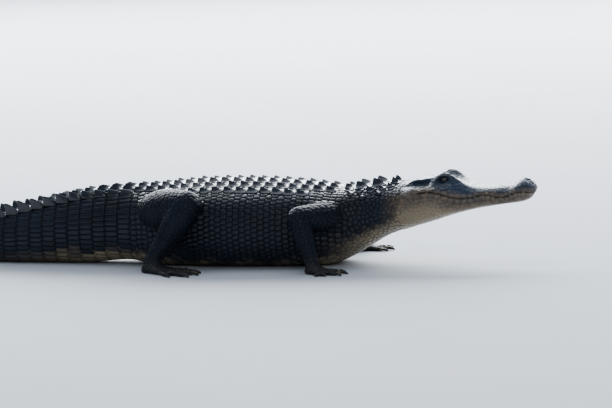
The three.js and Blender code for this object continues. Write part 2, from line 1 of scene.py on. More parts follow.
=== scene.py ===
# An American alligator, life size, as a still museum model resting on its belly.
# Sizes below are in millimetres and are turned into metres when a mesh is made.
# A station is a distance behind the tip of the snout, measured along the animal's midline.

import math

import bmesh
import bpy
import numpy as np
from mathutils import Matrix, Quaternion, Vector
from mathutils.bvhtree import BVHTree
from mathutils.kdtree import KDTree


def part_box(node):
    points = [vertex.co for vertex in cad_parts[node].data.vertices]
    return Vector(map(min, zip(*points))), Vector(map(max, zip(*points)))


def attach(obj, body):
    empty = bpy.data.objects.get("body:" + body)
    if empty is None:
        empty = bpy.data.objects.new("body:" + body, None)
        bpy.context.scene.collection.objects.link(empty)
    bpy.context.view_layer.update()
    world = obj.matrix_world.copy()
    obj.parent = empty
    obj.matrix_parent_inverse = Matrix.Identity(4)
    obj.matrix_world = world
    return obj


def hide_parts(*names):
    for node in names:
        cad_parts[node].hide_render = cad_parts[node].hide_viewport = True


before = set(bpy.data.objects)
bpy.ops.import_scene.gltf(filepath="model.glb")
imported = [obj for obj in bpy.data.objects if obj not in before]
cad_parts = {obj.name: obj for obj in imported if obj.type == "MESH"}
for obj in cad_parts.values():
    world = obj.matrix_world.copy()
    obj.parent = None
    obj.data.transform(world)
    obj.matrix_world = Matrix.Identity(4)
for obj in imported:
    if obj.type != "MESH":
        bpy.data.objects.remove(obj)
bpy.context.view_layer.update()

# Room: one long soft light low behind the animal glances off its wet back, with a weak one above
# and another in front. The camera looks at the right side, turned a little towards the head and
# from a little above, through a long lens.
scene = bpy.context.scene
scene.view_settings.look = "AgX - Medium High Contrast"
camera_distance = 13.4
camera_round = math.radians(15)
camera_above = math.radians(7)
camera_target = Vector((0.4875, -0.005, 0.151))
camera_lens = 306.3

view_back = Vector((
    math.sin(camera_round) * math.cos(camera_above),
    -math.cos(camera_round) * math.cos(camera_above),
    math.sin(camera_above),
))
level_roll = Quaternion((0, 0, 1), -math.atan(math.tan(camera_round) * math.sin(camera_above)))
camera_data = bpy.data.cameras.new("camera")
camera_data.lens = camera_lens
camera_data.sensor_width = 36
camera_data.clip_end = 100
camera = bpy.data.objects.new("camera", camera_data)
camera.location = camera_target + view_back * camera_distance
camera.rotation_euler = ((-view_back).to_track_quat("-Z", "Y") @ level_roll).to_euler()
scene.collection.objects.link(camera)
scene.camera = camera


def soft_light(name, place, aim, size, watts, colour):
    light = bpy.data.lights.new(name, "AREA")
    light.shape = "RECTANGLE"
    light.size, light.size_y = size
    light.energy = watts
    light.color = colour
    holder = bpy.data.objects.new(name, light)
    holder.location = place
    holder.rotation_euler = (Vector(aim) - Vector(place)).to_track_quat("-Z", "Y").to_euler()
    scene.collection.objects.link(holder)


soft_light("sky_behind", (-1.2, 7.4, 3.9), (0.2, 0, 0.1), (13, 5.6), 2100, (0.92, 0.96, 1.0))
soft_light("sky_above", (-0.4, 0.6, 4.2), (0, 0, 0), (5, 3), 50, (0.95, 0.97, 1.0))
soft_light("room_front", (2.2, -4.6, 2.6), (0.3, 0, 0.1), (3, 2), 34, (1.0, 0.93, 0.84))

room_blue, room_strength = (0.68, 0.81, 1.0, 1), 0.38
world = bpy.data.worlds.new("pale_room")
world.use_nodes = True
world.node_tree.nodes["Background"].inputs["Color"].default_value = room_blue
world.node_tree.nodes["Background"].inputs["Strength"].default_value = room_strength
scene.world = world


# Hide: one unbroken skin of wet leather from the snout to the tip of the tail, legs and feet
# included. It is lofted from the same cross-sections as the solids, fused with the limbs and
# smoothed where they meet, and lies a scale's thickness inside the solids.
head_low, head_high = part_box("head")
snout_x = head_high.x * 1000
midline_y = (head_low.y + head_high.y) * 500

total_length = 2232
neck_start = 352
tail_bend_start = 1330
tail_bend = math.radians(24)
spine_step = 4
rng = np.random.default_rng(20)


def profile(*knots):
    """A smooth curve through [station, size] knots that never overshoots them."""
    at, size = np.array(knots, float).T
    secant = np.diff(size) / np.diff(at)
    before = np.append(secant[:1], secant)
    after = np.append(secant, secant[-1:])
    rising = before * after > 0
    slope = np.where(rising, 2 * before * after / np.where(rising, before + after, 1), 0)

    def read(station):
        station = np.clip(station, at[0], at[-1])
        i = np.clip(np.searchsorted(at, station, side="right") - 1, 0, len(at) - 2)
        gap = at[i + 1] - at[i]
        t = (station - at[i]) / gap
        rise = t * t * (3 - 2 * t)
        pull = gap * (t * (1 - t) ** 2 * slope[i] + t * t * (t - 1) * slope[i + 1])
        return size[i] + (size[i + 1] - size[i]) * rise + pull

    return read


def lerp(a, b, share):
    return a + (b - a) * share


def ease(value, start, end):
    share = np.clip((value - start) / (end - start), 0, 1)
    return share * share * (3 - 2 * share)


def heading(station):
    share = np.clip((station - tail_bend_start) / (total_length - tail_bend_start), 0, 1)
    return tail_bend * np.sin(np.pi * share**1.2)


halfway = (np.arange(total_length // spine_step) + 0.5) * spine_step
spine_x = -np.append(0, np.cumsum(np.cos(heading(halfway)))) * spine_step
spine_y = np.append(0, np.cumsum(np.sin(heading(halfway)))) * spine_step
spine_at = np.arange(len(spine_x)) * spine_step


def place(station, left, up):
    """The point at a station, so far to the animal's left and so high above the floor."""
    turned = heading(station)
    x = snout_x + np.interp(station, spine_at, spine_x) + left * np.sin(turned)
    y = midline_y + np.interp(station, spine_at, spine_y) + left * np.cos(turned)
    return np.stack(np.broadcast_arrays(x, y, up), axis=-1).astype(float)


def unplace(points):
    """The station and the distance left of the midline of each point."""
    station = np.clip(snout_x - points[:, 0], 0, total_length)
    for _ in range(8):
        turned = heading(station)
        x = points[:, 0] - snout_x - np.interp(station, spine_at, spine_x)
        y = points[:, 1] - midline_y - np.interp(station, spine_at, spine_y)
        station = np.clip(station - x * np.cos(turned) + y * np.sin(turned), 0, total_length)
    return station, x * np.sin(turned) + y * np.cos(turned)


# The body: heights of its top, its underside and its widest line, half its width there, how
# square it is above and below, and how far the back falls away to the sides
body_top = profile(
    (352, 210), (400, 206), (450, 201), (507, 198), (545, 202), (590, 207), (640, 212),
    (710, 216), (815, 217), (890, 214), (945, 209), (1000, 203), (1072, 199), (1170, 190),
    (1262, 171), (1354, 145), (1450, 121), (1600, 94), (1750, 74), (1900, 56), (2050, 37),
    (2180, 17), (2232, 6),
)
body_bottom = profile(
    (352, 88), (400, 68), (450, 38), (507, 9), (545, -3), (1000, -3), (1080, 9), (1150, 4),
    (1215, -1.5), (2232, -1.5),
)
body_middle = profile(
    (352, 150), (400, 136), (450, 114), (507, 99), (600, 92), (800, 92), (1000, 96),
    (1072, 98), (1150, 88), (1262, 76), (1354, 64), (1450, 54), (1600, 44), (1750, 35),
    (1900, 27), (2050, 18), (2180, 8), (2232, 2.5),
)
body_half_width = profile(
    (352, 103), (385, 99), (420, 99), (470, 107), (520, 121), (580, 140), (650, 152),
    (780, 158), (890, 150), (960, 133), (1020, 110), (1072, 93), (1150, 80), (1262, 62),
    (1354, 52), (1450, 43), (1600, 32), (1750, 24), (1900, 17), (2050, 11), (2180, 6), (2232, 2),
)
top_fullness = profile((352, 2.2), (560, 3.6), (950, 3.5), (1072, 2.7), (1150, 2.3), (2232, 2))
bottom_fullness = profile((352, 2.1), (560, 2.7), (1000, 2.7), (1200, 2.4), (2232, 2.2))
back_fall = profile((352, 0), (560, 0.15), (950, 0.17), (1072, 0.1), (1170, 0), (2232, 0))
skin_depth = 1.0


def body_spot(station, angle, grow=-skin_depth):
    """The body's outline at a station: a distance left and a height for each angle round it."""
    up = np.sin(angle) > 0
    middle = body_middle(station)
    height = np.where(up, body_top(station) - middle, middle - body_bottom(station))
    fullness = np.where(up, top_fullness(station), bottom_fullness(station))
    across = (np.abs(np.cos(angle)) / body_half_width(station)) ** fullness
    upright = (np.abs(np.sin(angle)) / height) ** fullness
    radius = np.maximum((across + upright) ** (-1 / fullness) + grow, 0.8)
    left = radius * np.cos(angle)
    fall = np.where(up, back_fall(station), 0) * np.abs(left) / height
    return left, middle + radius * np.sin(angle) * (1 - fall)


# The head: heights of its middle line, of the ridge from nostril over the eye to the skull's
# corner and of the mouth, how far out the ridge, the lip and the lower jaw lie, and the chin
crown_height = profile(
    (0, 199), (5, 207), (13, 216), (22, 219.5), (30, 220.5), (40, 218.5), (52, 212), (64, 206),
    (80, 203.5), (110, 202.5), (143, 202.5), (165, 205), (180, 208.5), (195, 213.5), (210, 218.5),
    (230, 222), (250, 223), (270, 222), (300, 219), (325, 217), (338, 213.5), (352, 210),
)
ridge_out = profile(
    (0, 6), (5, 12), (13, 18), (25, 23), (38, 25), (52, 27), (64, 31), (80, 36), (110, 41),
    (165, 43), (185, 42), (205, 40), (230, 38.5), (250, 40), (268, 45), (300, 51), (330, 55),
    (352, 58),
)
ridge_height = profile(
    (0, 198), (5, 204), (13, 211), (22, 215.5), (30, 217), (40, 214.5), (52, 208), (64, 202),
    (80, 199.5), (110, 198.5), (143, 199.5), (165, 203.5), (180, 211), (195, 221.5), (208, 231),
    (222, 237.5), (236, 238.5), (250, 233), (262, 227), (275, 223.5), (300, 221), (328, 218),
    (352, 208),
)
lip_out = profile(
    (0, 12), (4, 27), (12, 40), (25, 50), (40, 55), (52, 56), (64, 55.5), (80, 57), (95, 60.5),
    (115, 62.5), (143, 65), (165, 69), (195, 75.5), (230, 83), (265, 90), (300, 97),
    (335, 103.5), (352, 103),
)
mouth_height = profile(
    (0, 190), (8, 184), (20, 186.5), (34, 187), (52, 183), (70, 176.5), (86, 173.8), (104, 176.5),
    (120, 180.5), (130, 181), (146, 178), (164, 173.6), (184, 172.8), (204, 175), (222, 180),
    (240, 185.5), (264, 190.5), (282, 190), (305, 185), (352, 172),
)
jaw_out = profile(
    (8, 16), (14, 28), (25, 40), (40, 46), (64, 47), (95, 51), (143, 57), (195, 68), (230, 76),
    (265, 86), (300, 95), (335, 102), (352, 103),
)
chin_height = profile(
    (8, 176), (14, 167), (25, 161), (40, 157), (80, 152), (140, 143), (200, 130), (260, 112),
    (300, 101), (330, 94), (352, 88),
)
lip_overhang = profile((0, 3), (20, 4.5), (230, 4.5), (285, 0.2), (352, 0))
jaw_start = 8
head_end_blend = 302
eye_station = 231
eye_reach = 45
upper_end_angles = np.radians([90, 69, 54, 46, 38, 30, 21, 12.8])
lower_end_angles = np.radians([12.4, 3, -8, -27, -52, -90])


def upper_outline(station):
    """Half of the upper head's outline at each station, from the crown to the lip."""
    off = (station - eye_station) / eye_reach
    eye = np.where(np.abs(off) < 1, (1 - off * off) ** 2, 0)
    table = ease(station, 250, 275)
    crown, out, top = crown_height(station), ridge_out(station), ridge_height(station)
    lip, mouth = lip_out(station), mouth_height(station)
    drop = top - mouth

    def shaped(snout, brow, skull):
        return lerp(lerp(snout, brow, eye), skull, table)

    corners = [
        (0 * station, crown),
        (out * 0.5, lerp(crown, top, 0.35) + 1.2 * (1 - eye)),
        (out, top),
        (shaped(lerp(out, lip, 0.42), out + 14, out + 4), shaped(top - 0.18 * drop, top - 9, top - 7)),
        (shaped(lerp(out, lip, 0.75), 60, out + 9), shaped(top - 0.4 * drop, 211, top - 13)),
        (shaped(lerp(out, lip, 0.95), 76, lip - 16), shaped(top - 0.62 * drop, 202, 202.5)),
        (lip + 1, shaped(mouth + 0.22 * drop, mouth + 13, lerp(mouth, 202.5, 0.4))),
        (lip - 0.5, mouth + 1.5),
    ]
    return np.stack([np.stack(corner, -1) for corner in corners], 1)


def lower_outline(station):
    """Half of the lower jaw's outline at each station, from the lip to the middle of the chin."""
    mouth = mouth_height(station)
    lip = lip_out(station) - 0.5 - lip_overhang(station)
    side = np.minimum(jaw_out(station), lip + 1)
    chin = chin_height(station)
    corners = [
        (lip, mouth - 1.5),
        (lerp(lip, side, 0.6) - 0.2, lerp(mouth, chin, 0.22)),
        (side, lerp(mouth, chin, 0.5)),
        (side * 0.86, lerp(mouth, chin, 0.82)),
        (side * 0.5, chin + 1),
        (0 * station, chin),
    ]
    outline = np.stack([np.stack(corner, -1) for corner in corners], 1)
    tip = np.sqrt(np.clip((station - 3) / (jaw_start - 3), 0, 1))[:, None]
    outline[:, :, 1] = lerp(mouth[:, None] - 1.5, outline[:, :, 1], tip)
    return outline


def into_neck(outline, station, end_angles):
    share = ease(station, head_end_blend, neck_start)[:, None]
    left, up = body_spot(np.full(len(end_angles), neck_start), end_angles, 0)
    ends = np.stack([np.abs(left), up], -1)
    return lerp(outline, ends[None], share[:, :, None])


def through(corners, fineness):
    """A smooth curve through the corners of each row, with so many points to a gap."""
    first, last = corners[:, :1], corners[:, -1:]
    padded = np.concatenate([first, corners, last], 1)
    t = np.arange(fineness) / fineness
    t = t[None, None, :, None]
    p0, p1, p2, p3 = (padded[:, i : i + corners.shape[1] - 1, None] for i in range(4))
    v1, v2 = (p2 - p0) / 2, (p3 - p1) / 2
    curve = (2 * p1 - 2 * p2 + v1 + v2) * t**3 + (3 * p2 - 3 * p1 - 2 * v1 - v2) * t**2 + v1 * t + p1
    return np.concatenate([curve.reshape(len(corners), -1, corners.shape[2]), last], 1)


def head_rings(station, fineness=7):
    mirror = np.array([-1, 1])
    upper = into_neck(upper_outline(station), station, upper_end_angles)
    over = through(np.concatenate([upper[:, :0:-1], upper * mirror], 1), fineness)
    lower = into_neck(lower_outline(station), station, lower_end_angles)
    under = through(np.concatenate([(lower * mirror)[:, :-1], lower[:, ::-1]], 1), fineness)
    rings = np.concatenate([over, under], 1)
    return place(station[:, None], rings[..., 0], rings[..., 1])


def body_rings(station, columns):
    angle = np.arange(columns) / columns * 2 * np.pi
    left, up = body_spot(station[:, None], angle[None])
    return place(station[:, None], left, up)


def loft(rings):
    """Corners and faces of a closed surface through rings of equally many points."""
    rows, count = rings.shape[:2]
    a = (np.arange(rows - 1) * count)[:, None] + np.arange(count)
    b = (np.arange(rows - 1) * count)[:, None] + (np.arange(count) + 1) % count
    sides = np.stack([a, b, b + count, a + count], -1).reshape(-1, 4).tolist()
    ends = [list(range(count))[::-1], list(range((rows - 1) * count, rows * count))]
    return rings.reshape(-1, 3), sides + ends


def object_of(name, points, faces):
    """A mesh object from corners in millimetres, in one closed surface facing out."""
    mesh = bpy.data.meshes.new(name)
    mesh.from_pydata((np.asarray(points) / 1000).tolist(), [], faces)
    made = bpy.data.objects.new(name, mesh)
    scene.collection.objects.link(made)
    work = bmesh.new()
    work.from_mesh(mesh)
    bmesh.ops.recalc_face_normals(work, faces=work.faces)
    work.to_mesh(mesh)
    work.free()
    return made


# Radii of the limbs from joint to joint. A hand or foot has sections of its sole (ahead of the
# ankle, half width, height), how far ahead its digits start, and for each digit how far aside it
# starts, its angle, length, radius and claw. A web reaches that share of the way down the digits.
front_radii = {"upper": (40, 38, 33, 28), "lower": (28, 27, 22, 18)}
hind_radii = {"upper": (42, 54, 50, 40), "lower": (39, 37, 27, 21)}
hand_shape = {
    "sole": ((-20, 12, 10), (-8, 20, 27), (12, 25, 26), (36, 24, 13)),
    "root": 24,
    "digits": ((-17, -46, 44, 7.5, 13), (-10, -20, 56, 8, 14), (0, 2, 60, 8, 13),
               (9, 25, 52, 7, 0), (16, 50, 40, 6.5, 0)),
    "web": 0,
}
foot_shape = {
    "sole": ((-30, 12, 10), (-16, 21, 26), (6, 25, 31), (36, 29, 20), (62, 25, 11)),
    "root": 44,
    "digits": ((-20, -19, 72, 9, 17), (-7, -5, 90, 9.5, 17), (7, 8, 94, 9, 16), (20, 23, 78, 7, 0)),
    "web": 0.68,
}
# side, hip, knee and ankle (station, left, up), how far the foot turns out, radii and foot
legs = (
    (1, (518, 92, 130), (600, 188, 128), (530, 222, 24), 30, front_radii, hand_shape),
    (-1, (518, 92, 130), (582, 190, 141), (540, 216, 24), 25, front_radii, hand_shape),
    (1, (1008, 72, 136), (892, 172, 158), (1000, 202, 30), 40, hind_radii, foot_shape),
    (-1, (1008, 72, 138), (879, 165, 167), (968, 205, 30), 28, hind_radii, foot_shape),
)


def spot_on(side, station, left, up):
    """A limb's joint, which is named as on a left limb."""
    return place(float(station), side * float(left), float(up))


def turning_frame(axis):
    side = np.cross([0, 0, 1], axis)
    side /= np.linalg.norm(side)
    return side, np.cross(axis, side)


limb_steps = 24
round_end = 0.85


def limb_rings(start, end, radii, columns=36):
    length = np.linalg.norm(end - start)
    side, over = turning_frame((end - start) / length)
    girth = profile(*zip(np.linspace(0, length, len(radii)), radii))
    along = np.linspace(0, length, limb_steps)
    radius = girth(along) - skin_depth
    turn = np.linspace(math.radians(12), math.radians(90), 7)
    start_round = (-radius[0] * np.cos(turn) * round_end, radius[0] * np.sin(turn))
    end_round = (length + radius[-1] * np.cos(turn) * round_end, radius[-1] * np.sin(turn))
    along = np.concatenate([start_round[0][:-1], along, end_round[0][-2::-1]])
    radius = np.concatenate([start_round[1][:-1], radius, end_round[1][-2::-1]])
    angle = np.arange(columns) / columns * 2 * np.pi
    ring = np.cos(angle)[None, :, None] * side + np.sin(angle)[None, :, None] * over
    centre = start + along[:, None] * (end - start) / length
    return centre[:, None] + radius[:, None, None] * ring


def foot_spot(side, ankle, facing, ahead, aside, up):
    x = ankle[0] + ahead * np.cos(facing) - aside * np.sin(facing)
    y = ankle[1] + side * (ahead * np.sin(facing) + aside * np.cos(facing))
    return np.stack(np.broadcast_arrays(x, y, up), axis=-1).astype(float)


def foot_rings(side, ankle, facing, sections, columns=20):
    ahead, half, middle, high = np.array(sections, float).T
    angle = np.arange(columns) / columns * 2 * np.pi
    aside = half[:, None] * np.cos(angle)
    up = middle[:, None] + high[:, None] * np.sin(angle)
    return foot_spot(side, ankle, facing, ahead[:, None], aside, up)


def resampled(sections, count):
    """More sections through the given ones, evenly spaced, on a smooth curve."""
    return through(np.array([sections], float), count)[0]


# How far along a digit, and how thick there as a share of its root: knuckles and a blunt tip
digit_form = ((0, 1.0), (0.22, 0.9), (0.36, 0.98), (0.52, 0.84), (0.66, 0.9), (0.82, 0.74),
              (0.94, 0.6), (1.0, 0.34))
sole_sunk = 1.5
digit_flat = 0.86
web_under, web_thick, web_notch = 0.5, 6.0, 0.45
web_rows = (-0.15, 0.2, 0.5, 0.8, 1.0)
forms = []
digits = []
for side, hip, knee, ankle, turn, radii, shape in legs:
    hip, knee, ankle = (spot_on(side, *joint) for joint in (hip, knee, ankle))
    facing = math.radians(turn)
    forms.append(limb_rings(hip, knee, radii["upper"]))
    forms.append(limb_rings(knee, ankle, radii["lower"]))
    sole = [(ahead, half, high / 2 - sole_sunk, high / 2) for ahead, half, high in shape["sole"]]
    forms.append(foot_rings(side, ankle, facing, resampled(sole, 5)))
    tips = []
    for aside, angle, length, radius, claw in shape["digits"]:
        root = foot_spot(side, ankle, facing, shape["root"], aside, 0)
        way = facing + math.radians(angle)
        form = [(along * length, radius * share, radius * share * digit_flat, radius * share)
                for along, share in digit_form]
        forms.append(foot_rings(side, root, way, resampled(form, 3), 14))
        digits.append((side, root, way, length, radius, claw))
        tips.append((root, way, length))
    for (root_a, way_a, length_a), (root_b, way_b, length_b) in zip(tips, tips[1:]):
        reach = shape["web"]
        if not reach:
            continue
        rows = []
        for share in web_rows:
            a = foot_spot(side, root_a, way_a, share * reach * length_a, 0, 0)
            b = foot_spot(side, root_b, way_b, share * reach * length_b, 0, 0)
            across = np.linspace(0, 1, 6)[:, None]
            line = lerp(a, b, across)
            drawn_in = (1 - (2 * across - 1) ** 2) * max(share - 0.4, 0) * web_notch * reach * length_a
            back = (root_a + root_b) / 2 - (a + b) / 2
            line = line + drawn_in * back / max(np.linalg.norm(back), 1)
            top = line + [0, 0, web_thick]
            rows.append(np.concatenate([line + [0, 0, web_under], top[::-1]]))
        forms.append(np.array(rows))

head_step, body_step, body_columns = 2.0, 4.0, 96
body_form_start = 346
head_form = head_rings(np.append(np.arange(0, neck_start, head_step), neck_start))
forms.append(head_form)
body_at = np.append(np.arange(body_form_start, total_length, body_step), total_length)
forms.append(body_rings(body_at, body_columns))

lofts = [loft(rings) for rings in forms]
starts = np.cumsum([0] + [len(points) for points, _ in lofts])
hide = object_of(
    "hide",
    np.concatenate([points for points, _ in lofts]),
    [[start + i for i in face] for start, (_, faces) in zip(starts, lofts) for face in faces],
)


def apply(piece, kind, **settings):
    """Adds a modifier to a piece and applies it."""
    bpy.ops.object.select_all(action="DESELECT")
    piece.select_set(True)
    bpy.context.view_layer.objects.active = piece
    modifier = piece.modifiers.new(kind.lower(), kind)
    for name, value in settings.items():
        setattr(modifier, name, value)
    bpy.ops.object.modifier_apply(modifier=modifier.name)


def corners_of(piece):
    flat = np.empty(len(piece.data.vertices) * 3, np.float32)
    piece.data.vertices.foreach_get("co", flat)
    return flat.reshape(-1, 3).astype(float) * 1000


def set_corners(piece, points):
    piece.data.vertices.foreach_set("co", (points / 1000).astype(np.float32).ravel())
    piece.data.update()


hide_grain = 0.0052
apply(hide, "REMESH", mode="VOXEL", voxel_size=hide_grain, use_smooth_shade=True)
apply(hide, "SMOOTH", factor=0.5, iterations=7)

# The head and feet are divided once more, and the head is then laid back on its own form.
foot_height, foot_clear, feet_end = 34, 6, 1160
fine_head_end = 322
work = bmesh.new()
work.from_mesh(hide.data)
work.faces.ensure_lookup_table()
middles = np.array([face.calc_center_median() for face in work.faces]) * 1000
station, left = unplace(middles)
on_foot = (middles[:, 2] < foot_height) & (np.abs(left) > body_half_width(station) + foot_clear)
on_foot &= station < feet_end
wanted = (station < fine_head_end) | on_foot
chosen = {edge for i in np.flatnonzero(wanted) for edge in work.faces[i].edges}
bmesh.ops.subdivide_edges(work, edges=list(chosen), cuts=1, use_grid_fill=True)
bmesh.ops.triangulate(work, faces=[face for face in work.faces if len(face.verts) > 4])
work.to_mesh(hide.data)
work.free()

points = corners_of(hide)
station, left = unplace(points)
head_points, head_faces = loft(head_form)
head_inset, tip_start, tip_short = 2.0, 2120, 3
snap_full, snap_end = 318, 340
head_tree = BVHTree.FromPolygons(head_points.tolist(), head_faces)
for i in np.flatnonzero(station < snap_end):
    near = head_tree.find_nearest(Vector(points[i]))[0]
    share = float(1 - ease(station[i], snap_full, snap_end))
    points[i] = lerp(points[i], np.array(near), share)
set_corners(hide, points)
inward = np.array([corner.normal for corner in hide.data.vertices])
points -= inward * (head_inset * (1 - ease(station, 325, 345)))[:, None]
tip = station > tip_start
stretch = (total_length - tip_short - tip_start) / (station.max() - tip_start)
reached = tip_start + (station - tip_start) * stretch
middle = place(station[tip], 0.0, 0.0)
points[tip] += place(reached[tip], 0.0, 0.0) - middle
points[:, 2] = np.maximum(points[:, 2], 0)
set_corners(hide, points)

# Openings of the head are pressed into the hide: a deep slit for each eye, a pit for each nostril,
# the groove of each ear under the edge of the skull, and the line of the mouth.
eye_out, eye_up, eye_radius = 43, 220.5, 12.2
slit_out, slit_up = 58, 221
nostril_station, nostril_out = 21, 11.5
ear_station, ear_up = 290, 212.5
presses = (
    # station, out, up, half-lengths along, out and up, depth, direction pressed (out, up)
    (eye_station, slit_out, slit_up, 13, 14, 6.3, 7.5, (1.0, 0.25)),
    (nostril_station, nostril_out, 219, 6.5, 4.5, 9, 5.5, (0.25, 1.0)),
    (ear_station, 55, ear_up, 22, 9, 2.6, 3.5, (1.0, 0.35)),
)
for side in (1, -1):
    for at, out, up, long, wide, high, depth, (way_out, way_up) in presses:
        centre = place(float(at), side * float(out), float(up))
        off = (points - centre) / [long, wide, high]
        share = np.clip(1 - np.sqrt((off**2).sum(1)), 0, 1)
        push = np.array([0, side * way_out, way_up]) / math.hypot(way_out, way_up)
        points -= push * (depth * ease(share, 0, 0.45))[:, None]
mouth_depth, mouth_half, mouth_front = 3.0, 3.6, 8
mouth_fades, mouth_ends, jaw_hinge = 285, 300, 330
station, left = unplace(points)
# The mouth line is pressed into the hide, and the same mask darkens it as painted shade
off_mouth = np.abs(points[:, 2] - mouth_height(np.minimum(station, jaw_hinge)))
mouth_groove_and_shade = (1 - ease(off_mouth, 0, mouth_half)) * (1 - ease(station, mouth_fades, mouth_ends))
mouth_groove_and_shade *= np.abs(left) > mouth_front
outward = np.sign(left) * ease(np.abs(left), mouth_front, 30)
points[:, 1] -= mouth_depth * mouth_groove_and_shade * outward
set_corners(hide, points)
hide_tree = BVHTree.FromPolygons(points.tolist(), [tuple(face.vertices) for face in hide.data.polygons])


def body_excess(points):
    """Station, angle round the body, and how far outside the body's own outline a point lies."""
    station, left = unplace(points)
    up = points[:, 2] - body_middle(station)
    angle = np.arctan2(up, left)
    edge_left, edge_up = body_spot(station, angle)
    edge = np.hypot(edge_left, edge_up - body_middle(station))
    return station, angle, np.hypot(left, up) - edge


limb_from, limb_to = 470, 1170
limb_stands_off, limb_reach = 4, 2.2
toe_at, toe_thick = 120, 24
# The bake's map: the body lies below, and the limbs side by side above it
body_map_high, limb_map_low, limb_map_high = 0.62, 0.66, 0.32
limb_map_margin, limb_map_long, scale_map = 0.005, 0.92, 0.0015


def on_limb(points):
    """Which limb a point belongs to, or -1, with the way down that limb and its unwrap there."""
    station, angle, excess = body_excess(points)
    nearest = np.full(len(points), 1e9)
    limb = np.full(len(points), -1)
    way = np.tile([1.0, 0, 0], (len(points), 1))
    unwrap = np.zeros((len(points), 2))
    for number, (side, hip, knee, ankle, turn, radii, shape) in enumerate(legs):
        hip, knee, ankle = (spot_on(side, *joint) for joint in (hip, knee, ankle))
        facing = math.radians(turn)
        toe = foot_spot(side, ankle, facing, toe_at, 0, 6)
        for part, (start, end, thick) in enumerate(
            ((hip, knee, radii["upper"][1]), (knee, ankle, radii["lower"][1]), (ankle, toe, toe_thick))
        ):
            axis = end - start
            along = np.clip((points - start) @ axis / (axis @ axis), 0, 1)
            off = points - start - along[:, None] * axis
            distance = np.linalg.norm(off, axis=1) / thick
            across, over = turning_frame(axis / np.linalg.norm(axis))
            round_share = np.arctan2(off @ over, off @ across) / (2 * np.pi) + 0.5
            closer = distance < nearest
            nearest = np.where(closer, distance, nearest)
            limb = np.where(closer, number * 3 + part, limb)
            way[closer] = axis / np.linalg.norm(axis)
            down = (part + along[closer]) / 3
            unwrap[closer, 0] = (number + down * limb_map_long) / 4 + limb_map_margin
            unwrap[closer, 1] = limb_map_low + limb_map_high * round_share[closer]
    outside = (excess > limb_stands_off) & (station > limb_from) & (station < limb_to)
    limb = np.where(outside & (nearest < limb_reach), limb, -1)
    return station, angle, limb, way, unwrap


def markings(points):
    """How pale, how warm and how blue the hide is: buff below, tan on the jaws, and blue on the head as
    a painted sky reflection.
    """
    station, angle, excess = body_excess(points)
    limb = on_limb(points)[2]
    up = points[:, 2]
    waver = 5 * np.sin(station / 17 + up / 9) + 4 * np.sin(station / 7.3 - up / 5)
    low = np.degrees(-angle)
    low = np.where(low > 90, 180 - low, low)
    belly = ease(low + waver, 28, 52) * ease(station, 380, 520)
    belly *= 1 - 0.8 * ease(station, 1060, 1420)
    throat = ease(body_middle(station) - 12 - up + waver, 0, 40) * (1 - ease(station, 430, 560))
    mouth = mouth_height(np.minimum(station, jaw_hinge))
    jaw = ease(mouth + 13 - up + 0.4 * waver, -7, 11) * (1 - ease(station, 335, 400))
    limb_under = ease(60 - up, 0, 60) * 0.12
    pale = np.where(limb >= 0, limb_under, np.maximum(belly, 0.75 * throat))
    pale = np.where(station < neck_start, 0.7 * ease(mouth - 12 - up, 0, 40), pale)
    # The share of painted sky reflection in blue, full on the head and fading along the neck
    fore = 1 - ease(station, 300, 430)
    return pale, np.where(limb >= 0, 0, jaw), fore


class Wire:
    """A socket of a material's nodes, so that its maths can be written as an expression."""

    def __init__(self, tree, socket=None):
        self.tree = tree
        self.socket = socket

    def node(self, kind, settings, sockets, output=0):
        """Adds a node: its settings first, then the values or links of its sockets."""
        made = self.tree.nodes.new(kind)
        for name, setting in settings.items():
            setattr(made, name, setting)
        for name, value in sockets.items():
            if isinstance(value, Wire):
                self.tree.links.new(value.socket, made.inputs[name])
            else:
                made.inputs[name].default_value = value
        return Wire(self.tree, made.outputs[output])

    def maths(self, operation, a, b):
        return self.node("ShaderNodeMath", {"operation": operation}, {0: a, 1: b})

    def __add__(self, other):
        return self.maths("ADD", self, other)

    __radd__ = __add__

    def __sub__(self, other):
        return self.maths("SUBTRACT", self, other)

    def __rsub__(self, other):
        return self.maths("SUBTRACT", other, self)

    def __mul__(self, other):
        return self.maths("MULTIPLY", self, other)

    __rmul__ = __mul__

    def __pow__(self, other):
        return self.maths("POWER", self, other)


def finish(name, build):
    made = bpy.data.materials.new(name)
    made.use_nodes = True
    tree = made.node_tree
    shader = tree.nodes["Principled BSDF"]
    build(Wire(tree), shader)
    return made


def feed(wire, shader, **values):
    for name, value in values.items():
        socket = shader.inputs[name.replace("_", " ")]
        if isinstance(value, Wire):
            wire.tree.links.new(value.socket, socket)
        else:
            socket.default_value = value


def attribute(wire, name):
    return wire.node("ShaderNodeAttribute", {"attribute_name": name}, {}, 2)


def blend(wire, share, a, b):
    return wire.node("ShaderNodeMix", {"data_type": "RGBA"}, {0: share, 6: a, 7: b}, 2)


def noise(wire, scale, detail=3.0, rough=0.55):
    at = wire.node("ShaderNodeTexCoord", {}, {}, 3)
    return wire.node(
        "ShaderNodeTexNoise", {}, {"Vector": at, "Scale": scale, "Detail": detail, "Roughness": rough}
    )


def spread_out(wire, value, low, high, to_low=0.0, to_high=1.0):
    return wire.node("ShaderNodeMapRange", {}, {0: value, 1: low, 2: high, 3: to_low, 4: to_high})


